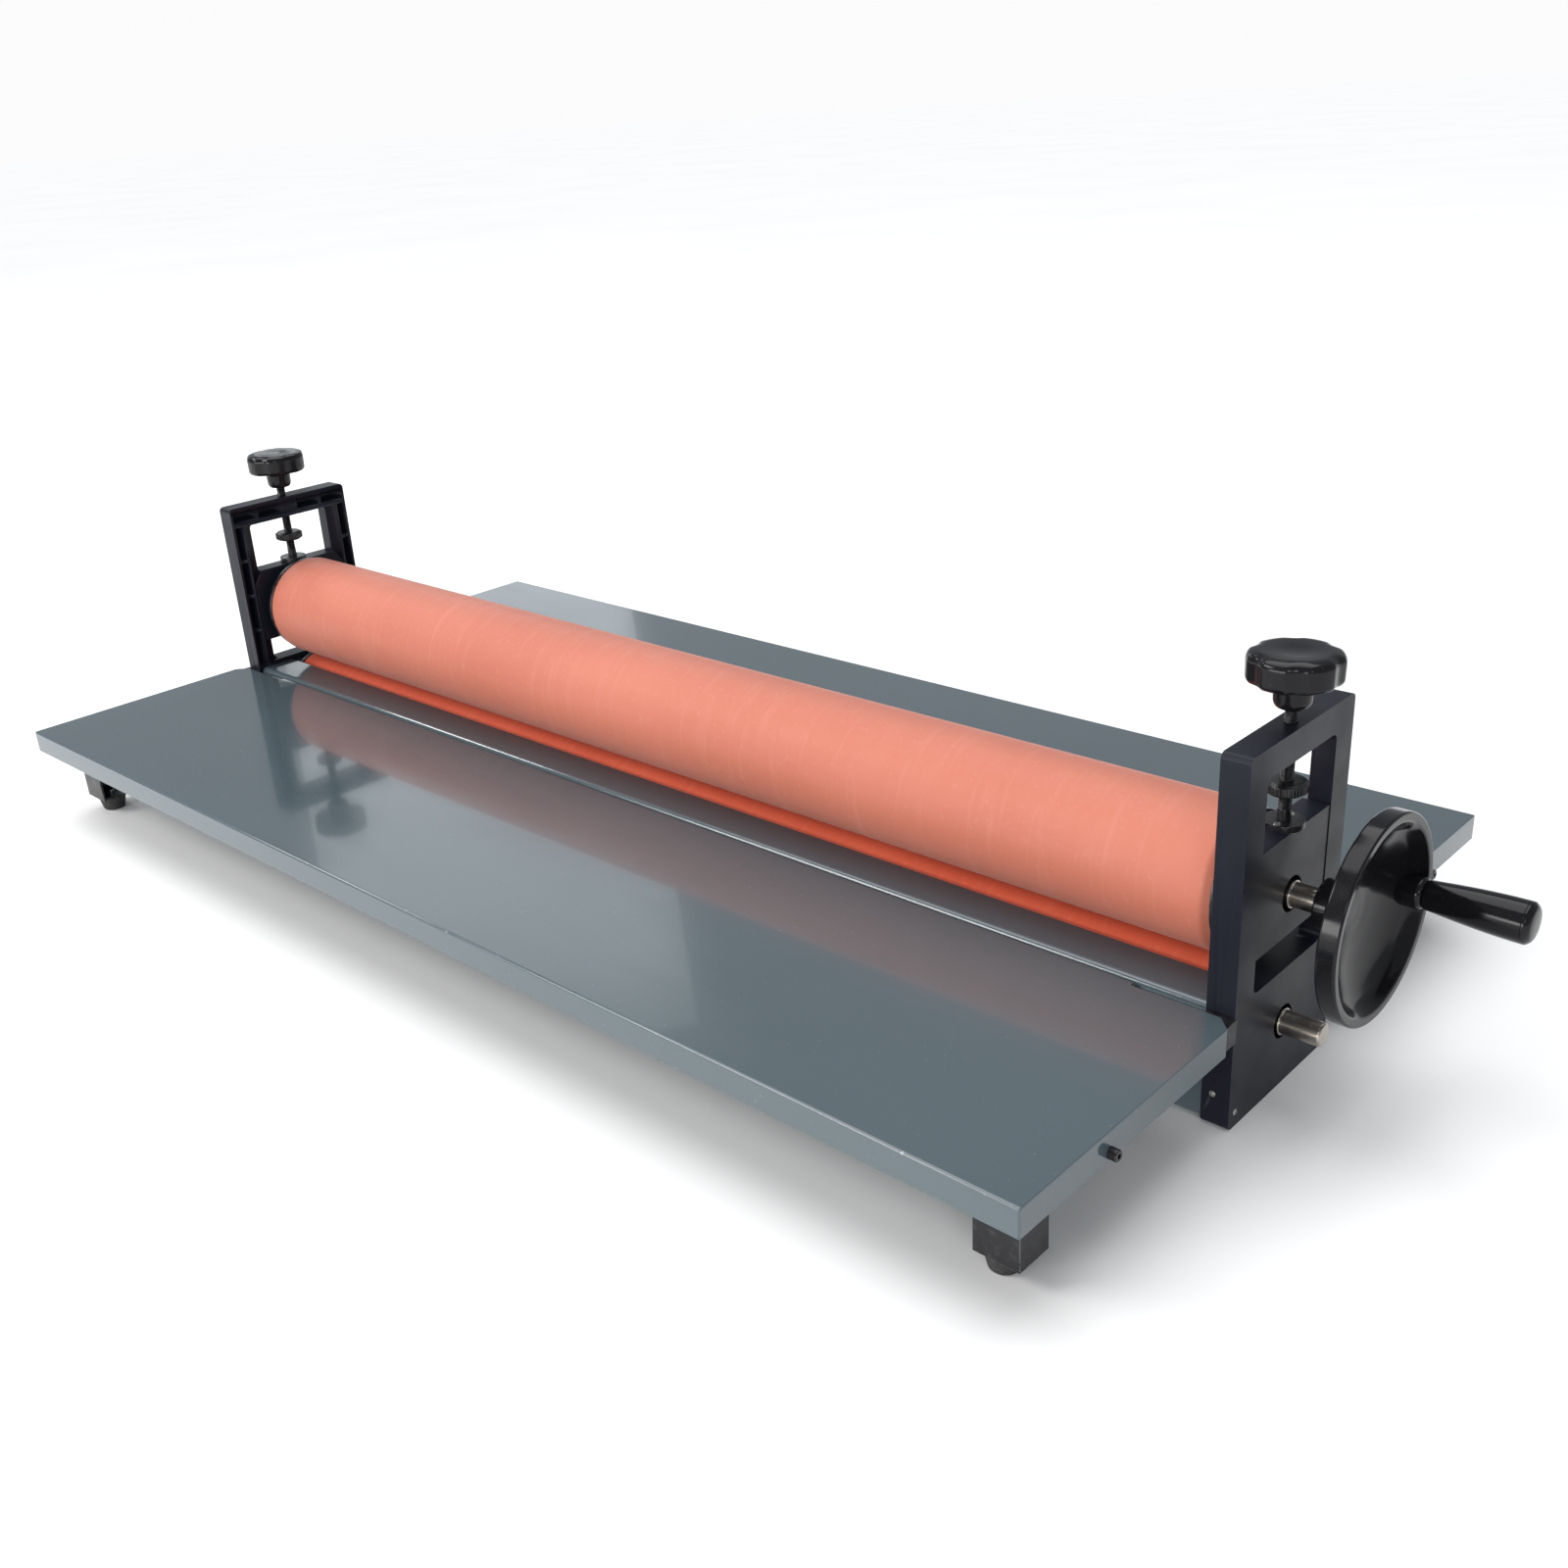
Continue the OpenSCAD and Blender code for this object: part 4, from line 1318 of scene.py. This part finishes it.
@dataclass(frozen=True)
class Feet:
    """The four foot brackets with their rubber feet."""

    bracket_edge: float = 0.6 * MM
    taper: float = 2.5 * MM
    recess_radius: float = 3.8 * MM
    rim_fillet: float = 1.6 * MM

    def build(self, shop: Workshop) -> None:
        """Makes the brackets, the feet and their screws."""
        corners = [f"{end.value}_{side.value}" for end in End for side in Side]
        shop.round_off([f"foot_bracket_{at}" for at in corners], self.bracket_edge, Slot.BLACK_STEEL, Body.STAND)
        for at in corners:
            node = f"rubber_foot_{at}"
            span = shop.span(node)
            r, top = span.size.x / 2, span.high.z
            outline = [
                (self.recess_radius, span.low.z, 0.4 * MM), (r - self.taper, span.low.z, self.rim_fillet),
                (r - 0.4 * self.taper, 0.55 * top, 2 * MM), (r, top, 0.8 * MM), (2.0 * MM, top, 0),
                (2.0 * MM, top / 2, 0), (self.recess_radius, top / 2, 0),
            ]
            mesh = turned(outline, Vector((span.middle.x, span.middle.y, 0)), Axis.Z, 64)
            shop.add(f"{node}_moulded", mesh, Slot.FOOT_RUBBER, Body.STAND, [node])
        ScrewSet(
            "foot_screws", 3.5 * MM, 2.5 * MM, 2.0 * MM, 11 * MM, Slot.ZINC_STEEL, Body.STAND, Axis.Z, down=True
        ).build(shop)


@dataclass(frozen=True)
class Roller:
    """One roller: rubber sleeve, steel tube, end discs and shaft."""

    name: str
    body: Body
    slot: Slot
    bevel: float = 5.0 * MM
    lip_fillet: float = 1.8 * MM
    disc_edge: float = 0.6 * MM
    shaft_edge: float = 0.35 * MM
    segments: int = 192

    def sleeve(self, shop: Workshop) -> Mesh:
        """Turns the rubber sleeve with its bevelled ends."""
        span = shop.span(f"{self.name}_roller_sleeve")
        outer, inner = span.size.z / 2, shop.span(f"{self.name}_roller_tube").size.z / 2
        half, lip = span.size.x / 2, (outer + inner) / 2
        right = [(outer, half - self.bevel, self.lip_fillet), (lip, half, 0.7 * MM), (inner, half, 0)]
        left = [(r, -x, fillet) for r, x, fillet in reversed(right)]
        return turned(left + right, Vector((0, 0, span.middle.z)), Axis.X, self.segments)

    def build(self, shop: Workshop) -> None:
        """Makes the whole roller."""
        node = f"{self.name}_roller_sleeve"
        shop.add(f"{node}_ground", self.sleeve(shop), self.slot, self.body, [node])
        shop.round_off(
            [f"{self.name}_end_disc_{side.value}" for side in Side], self.disc_edge, Slot.BLACK_STEEL, self.body
        )
        shop.round_off([f"{self.name}_roller_tube"], self.shaft_edge, Slot.GROUND_STEEL, self.body)
        shop.round_off([f"{self.name}_shaft"], self.shaft_edge, Slot.GROUND_STEEL, self.body)


@dataclass(frozen=True)
class Handwheel:
    """The dished handwheel with its boss for the crank grip."""

    rim_width: float = 12 * MM
    rim_height: float = 11 * MM
    hub_radius: float = 15 * MM
    hub_face: float = 18 * MM
    web: float = 5 * MM
    boss_radius: float = 10 * MM
    seat_radius: float = 7.5 * MM
    segments: int = 160

    def wheel(self, shop: Workshop) -> Mesh:
        """Turns the rim, the bowl and the hub in one."""
        span = shop.span("handwheel")
        r, axis_z = span.size.z / 2, span.middle.z
        back, boss_face = span.low.x, span.high.x
        front = boss_face - 2 * MM
        rear = front - self.rim_width
        bowl, seat_end = back + self.hub_face, back + self.hub_face - self.web
        lip = r - self.rim_height
        outline = [
            (0, bowl, 0), (0.20 * r, bowl + 0.2 * MM, 4 * MM), (0.45 * r, bowl + 2.4 * MM, 8 * MM),
            (0.66 * r, bowl + 6.4 * MM, 6 * MM), (lip, front - 7.0 * MM, 5 * MM),
            (lip + 3.6 * MM, front - 2.4 * MM, 2 * MM), (lip + 5.4 * MM, front - 0.3 * MM, 1.2 * MM),
            (r - 0.9 * MM, front, 0.8 * MM), (r, front - 1.0 * MM, 0.8 * MM),
            (r, rear + 1.2 * MM, 1 * MM), (r - 1.2 * MM, rear, 1 * MM),
            (lip + 1.5 * MM, rear, 1.5 * MM), (lip - 1.5 * MM, rear + 1.6 * MM, 3 * MM),
            (self.hub_radius + 1.5 * MM, seat_end + 0.4 * MM, 2 * MM),
            (self.hub_radius, seat_end - 2 * MM, 1.5 * MM), (self.hub_radius, back, 1.2 * MM),
            (self.seat_radius, back, 0.5 * MM), (self.seat_radius, seat_end, 0), (0, seat_end, 0),
        ]
        return turned(outline, Vector((0, 0, axis_z)), Axis.X, self.segments, steps=6)

    def boss(self, shop: Workshop) -> Mesh:
        """Turns the boss that holds the grip's spindle."""
        wheel, grip = shop.span("handwheel"), shop.span("crank_grip")
        face, rear = wheel.high.x, wheel.high.x - 2 * MM - self.rim_width - 2 * MM
        outline = [
            (0, rear, 0), (self.boss_radius, rear, 1.6 * MM), (self.boss_radius, face - 2.4 * MM, 2.2 * MM),
            (0.86 * self.boss_radius, face, 1.4 * MM), (0, face, 0),
        ]
        return turned(outline, Vector((0, grip.middle.y, grip.middle.z)), Axis.X, 96, steps=5)

    def build(self, shop: Workshop) -> None:
        """Makes the wheel, its set screw and the spindle."""
        mesh = joined([self.wheel(shop), self.boss(shop)])
        shop.add("handwheel_moulded", mesh, Slot.PHENOLIC, Body.UPPER_ROLLER, ["handwheel"])
        shop.round_off(["wheel_set_screw"], 0.2 * MM, Slot.BLACK_STEEL, Body.UPPER_ROLLER)
        shop.round_off(["crank_spindle"], 0.4 * MM, Slot.GROUND_STEEL, Body.UPPER_ROLLER)


@dataclass(frozen=True)
class CrankGrip:
    """The swelling grip that turns on its spindle, with its end cap."""

    thin: float = 17.5 * MM
    bore: float = 4.05 * MM
    recess: float = 6.3 * MM
    recess_depth: float = 7.3 * MM
    steps: int = 18

    def build(self, shop: Workshop) -> None:
        """Makes the grip and the cap."""
        span, cap = shop.span("crank_grip"), shop.span("grip_end_cap")
        middle = Vector((0, span.middle.y, span.middle.z))
        wide, narrow = span.size.z / 2, self.thin / 2
        x0, x1 = span.low.x, span.high.x
        swell = [
            (narrow + (wide - narrow) * math.sin(math.pi / 2 * t), x0 + t * (x1 - x0), 0.0)
            for t in (step / self.steps for step in range(1, self.steps))
        ]
        outline = [
            (self.bore, x0, 0.3 * MM), (narrow, x0, 0.9 * MM), *swell, (wide, x1, 0.35 * MM),
            (self.recess, x1, 0), (self.recess, x1 - self.recess_depth, 0), (self.bore, x1 - self.recess_depth, 0),
        ]
        grip = turned(outline, middle, Axis.X, 128)
        shop.add("crank_grip_moulded", grip, Slot.PHENOLIC, Body.GRIP, ["crank_grip"])
        tip, seam = cap.high.x, x1
        rise = tip - seam
        outline = [
            (0, cap.low.x, 0), (self.recess - 0.05 * MM, cap.low.x, 0), (self.recess - 0.05 * MM, seam, 0),
            (wide, seam, 0.35 * MM), (wide, seam + 0.30 * rise, 1.6 * MM),
            (0.80 * wide, seam + 0.88 * rise, 3.2 * MM), (0.40 * wide, tip, 3 * MM), (0, tip, 0),
        ]
        mesh = turned(outline, middle, Axis.X, 128, steps=6)
        shop.add("grip_end_cap_moulded", mesh, Slot.PHENOLIC, Body.GRIP, ["grip_end_cap"])


@dataclass(frozen=True)
class PressureGear:
    """One pressure screw with its star knob and lock nut."""

    side: Side
    screw_body: Body
    nut_body: Body
    pitch: float = 1.25 * MM
    thread_depth: float = 0.62 * MM
    plain_end: float = 12 * MM
    lobes: int = 6
    hollow: float = 1.7 * MM
    hub_height: float = 15 * MM
    hub_radius: float = 11.5 * MM
    ridges: int = 40

    def screw(self, shop: Workshop) -> Mesh:
        """Rolls the threaded rod and adds its round foot in the block."""
        node = f"pressure_screw_{self.side.value}"
        span = shop.span(node)
        radius, foot = 4 * MM, span.size.x / 2
        foot_top = span.low.z + 3.4 * MM
        low, high = foot_top - 1 * MM, span.high.z
        rows = int((high - low) / self.pitch * 6)
        empty = bpy.data.meshes.new("empty")
        rod = thread_recipe(shop.finishes[Slot.BLACK_STEEL]).run(
            empty, Length=high - low, Radius=radius, Depth=self.thread_depth, Pitch=self.pitch,
            Plain_End=self.plain_end, Around=25, Rows=rows,
        )
        middle = Vector((span.middle.x, span.middle.y, 0))
        moved(rod, middle + Vector((0, 0, low)))
        disc = turned(
            [(0, span.low.z, 0), (foot, span.low.z, 0.5 * MM), (foot, foot_top, 0.5 * MM), (0, foot_top, 0)],
            middle, Axis.Z, 48,
        )
        return joined([outward(rod), disc])

    def knob(self, shop: Workshop) -> Mesh:
        """Turns the star knob and presses the hollows between its lobes."""
        span = shop.span(f"star_knob_{self.side.value}")
        r, low, top = span.size.x / 2, span.low.z, span.high.z
        under = low + self.hub_height
        outline = [
            (0, low, 0), (self.hub_radius - 2.6 * MM, low, 1.6 * MM),
            (self.hub_radius - 0.8 * MM, low + 3 * MM, 3 * MM), (self.hub_radius - 0.3 * MM, under - 2 * MM, 2 * MM),
            (self.hub_radius + 2 * MM, under, 1.5 * MM), (r - 1.8 * MM, under, 1.6 * MM),
            (r - 0.2 * MM, under + 2.2 * MM, 2 * MM),
            (r, top - 4.2 * MM, 2.6 * MM), (r - 1.6 * MM, top - 1.5 * MM, 2 * MM), (r - 6 * MM, top, 4 * MM),
            (0.5 * r, top - 0.3 * MM, 4 * MM), (0.2 * r, top - 1.2 * MM, 4 * MM), (0, top - 1.4 * MM, 0),
        ]

        def lobed(radius: float, along: float, angle: float) -> float:
            """Draws the wall in between the lobes, and leaves the hub and the middle round."""
            inner, outer = self.hub_radius + 1 * MM, r
            share = min(max((radius - inner) / (outer - inner), 0.0), 1.0)
            if along < under - 0.1 * MM:
                share = 0.0
            share = share * share * (3 - 2 * share)
            between = max(math.cos(self.lobes * angle), 0.0) ** 1.2
            return radius - self.hollow * share * between

        return turned(outline, Vector((span.middle.x, span.middle.y, 0)), Axis.Z, 180, lobed, 5)

    def nut(self, shop: Workshop) -> Mesh:
        """Turns the lock nut and sets the ridges of its knurl round it."""
        span = shop.span(f"lock_nut_{self.side.value}")
        r, low, high = span.size.x / 2 - 0.35 * MM, span.low.z, span.high.z
        middle = Vector((span.middle.x, span.middle.y, 0))
        body = turned(
            [
                (4.05 * MM, low, 0.4 * MM), (r - 2.2 * MM, low, 0.6 * MM), (r, low + 1.5 * MM, 0.8 * MM),
                (r, high - 1.5 * MM, 0.8 * MM), (r - 2.2 * MM, high, 0.6 * MM), (4.05 * MM, high, 0.4 * MM),
            ],
            middle, Axis.Z, 80,
        )
        half = (high - low) / 2 - 1.3 * MM
        ridge = turned([(0, -half, 0), (0.62 * MM, -half + 0.5 * MM, 0.2 * MM),
                        (0.62 * MM, half - 0.5 * MM, 0.2 * MM), (0, half, 0)], Vector(), Axis.Z, 8, steps=2)
        ring = ring_recipe(shop.finishes[Slot.BLACK_STEEL]).run(ridge, Count=self.ridges, Radius=r - 0.27 * MM)
        moved(ring, middle + Vector((0, 0, span.middle.z)))
        return joined([body, ring])

    def build(self, shop: Workshop) -> None:
        """Makes the screw, the knob and the nut."""
        at = self.side.value
        for kind, mesh, slot, body in (
            ("pressure_screw", self.screw(shop), Slot.BLACK_STEEL, self.screw_body),
            ("star_knob", self.knob(shop), Slot.PHENOLIC, self.screw_body),
            ("lock_nut", self.nut(shop), Slot.BLACK_STEEL, self.nut_body),
        ):
            shop.add(f"{kind}_{at}_made", mesh, slot, body, [f"{kind}_{at}"])


@dataclass(frozen=True)
class Studio:
    """Plain pale floor, soft light and the camera."""

    camera_at: Colour = (0.8865, -0.7871, 0.5731)
    looks_at: Colour = (0.1275, 0.0, 0.0968)
    roll: float = -3.41
    lens: float = 37.04
    floor_radius: float = 30.0
    room: Colour = (0.92, 0.95, 1.0)
    room_light: float = 0.42
    sun_light: float = 2.1
    sun_width: float = 60.0
    backdrop: Colour = (0.97, 0.97, 0.97)

    def floor(self) -> None:
        """Makes the floor, just under the feet."""
        mesh = bpy.data.meshes.new("studio_floor")
        count, r = 96, self.floor_radius
        ring = [
            (r * math.cos(2 * math.pi * i / count), r * math.sin(2 * math.pi * i / count), 0.0) for i in range(count)
        ]
        mesh.from_pydata(ring, [], [tuple(range(count))])
        mesh.materials.append(StudioFloor().build())
        floor = bpy.data.objects.new("studio_floor", mesh)
        bpy.context.scene.collection.objects.link(floor)
        floor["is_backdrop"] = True

    def lamp(self, name: str, place: Colour, size: tuple[float, float], power: float, colour: Colour) -> None:
        """Hangs one soft rectangular lamp that faces the machine.

        Args:
            name: the lamp's name.
            place: where it hangs.
            size: its two sides.
            power: its power in watts.
            colour: the colour of its light.
        """
        light = bpy.data.lights.new(name, "AREA")
        light.shape, light.size, light.size_y = "RECTANGLE", size[0], size[1]
        light.energy, light.color = power, colour
        lamp = bpy.data.objects.new(name, light)
        lamp.location = place
        lamp.rotation_euler = (Vector((0.0, 0.0, 0.1)) - Vector(place)).to_track_quat("-Z", "Y").to_euler()
        bpy.context.scene.collection.objects.link(lamp)

    def sun(self) -> None:
        """Adds the wide soft light from above that falls evenly on the whole floor."""
        light = bpy.data.lights.new("sun", "SUN")
        light.energy, light.angle, light.color = self.sun_light, math.radians(self.sun_width), (1.0, 1.0, 1.0)
        sun = bpy.data.objects.new("sun", light)
        sun.rotation_euler = (math.radians(-8), math.radians(-12), 0)
        bpy.context.scene.collection.objects.link(sun)

    def sky(self) -> None:
        """Sets the plain pale surroundings."""
        world = bpy.data.worlds.new("studio")
        world.use_nodes = True
        nodes, links = world.node_tree.nodes, world.node_tree.links
        shades = [nodes["Background"], nodes.new("ShaderNodeBackground")]
        for shade, colour, strength in zip(shades, (self.room, self.backdrop), (self.room_light, 1.0)):
            shade.inputs["Color"].default_value = (*colour, 1.0)
            shade.inputs["Strength"].default_value = strength
        mix = nodes.new("ShaderNodeMixShader")
        links.new(nodes.new("ShaderNodeLightPath").outputs["Is Camera Ray"], mix.inputs[0])
        for index, shade in enumerate(shades, 1):
            links.new(shade.outputs[0], mix.inputs[index])
        links.new(mix.outputs[0], nodes["World Output"].inputs["Surface"])
        bpy.context.scene.world = world

    def camera(self) -> None:
        """Sets the camera where the object is seen from."""
        ahead = (Vector(self.looks_at) - Vector(self.camera_at)).normalized()
        level = ahead.cross(Vector((0, 0, 1))).normalized()
        up = level.cross(ahead)
        roll = math.radians(self.roll)
        right = level * math.cos(roll) + up * math.sin(roll)
        top = up * math.cos(roll) - level * math.sin(roll)
        data = bpy.data.cameras.new("camera")
        data.lens, data.sensor_width = self.lens, 36.0
        data.clip_start, data.clip_end = 0.02, 100.0
        camera = bpy.data.objects.new("camera", data)
        pose = Matrix((right, top, -ahead)).transposed().to_4x4()
        pose.translation = Vector(self.camera_at)
        camera.matrix_world = pose
        bpy.context.scene.collection.objects.link(camera)
        bpy.context.scene.camera = camera

    def build(self) -> None:
        """Sets up the whole studio."""
        self.floor()
        self.sky()
        self.sun()
        self.lamp("key", (-2.2, -2.6, 2.6), (1.8, 1.2), 72.0, (1.0, 0.98, 0.95))
        self.lamp("front", (0.0, -3.0, 0.5), (2.8, 0.7), 56.0, (1.0, 0.98, 0.96))
        self.lamp("fill", (3.0, -2.4, 1.6), (0.8, 0.8), 12.0, (0.95, 0.97, 1.0))
        self.lamp("strip", (-2.7, 1.7, 1.45), (1.0, 1.5), 4.5, (0.92, 0.97, 1.0))
        self.lamp("edge", (-2.8, -0.2, 2.2), (0.5, 0.5), 10.0, (1.0, 1.0, 1.0))
        self.camera()
        bpy.context.scene.view_settings.view_transform = "Standard"


def main() -> None:
    """Builds the laminator, one sub-assembly after the other."""
    logging.basicConfig(level=logging.INFO, format="%(name)s: %(message)s")
    shop = Workshop()
    parts = (
        SideFrames(),
        BearingBlocks(),
        BallBearings("upper", Body.CARRIAGE, Body.UPPER_ROLLER),
        BallBearings("lower", Body.STAND, Body.LOWER_ROLLER),
        Base(),
        FeedTables(),
        Feet(),
        Roller("upper", Body.UPPER_ROLLER, Slot.UPPER_RUBBER),
        Roller("lower", Body.LOWER_ROLLER, Slot.LOWER_RUBBER),
        Handwheel(),
        CrankGrip(),
        PressureGear(Side.LEFT, Body.LEFT_SCREW, Body.LEFT_LOCK_NUT),
        PressureGear(Side.RIGHT, Body.RIGHT_SCREW, Body.RIGHT_LOCK_NUT),
    )
    for part in parts:
        part.build(shop)
        LOG.info("built %s", type(part).__name__)
    Studio().build()


if __name__ == "__main__":
    main()
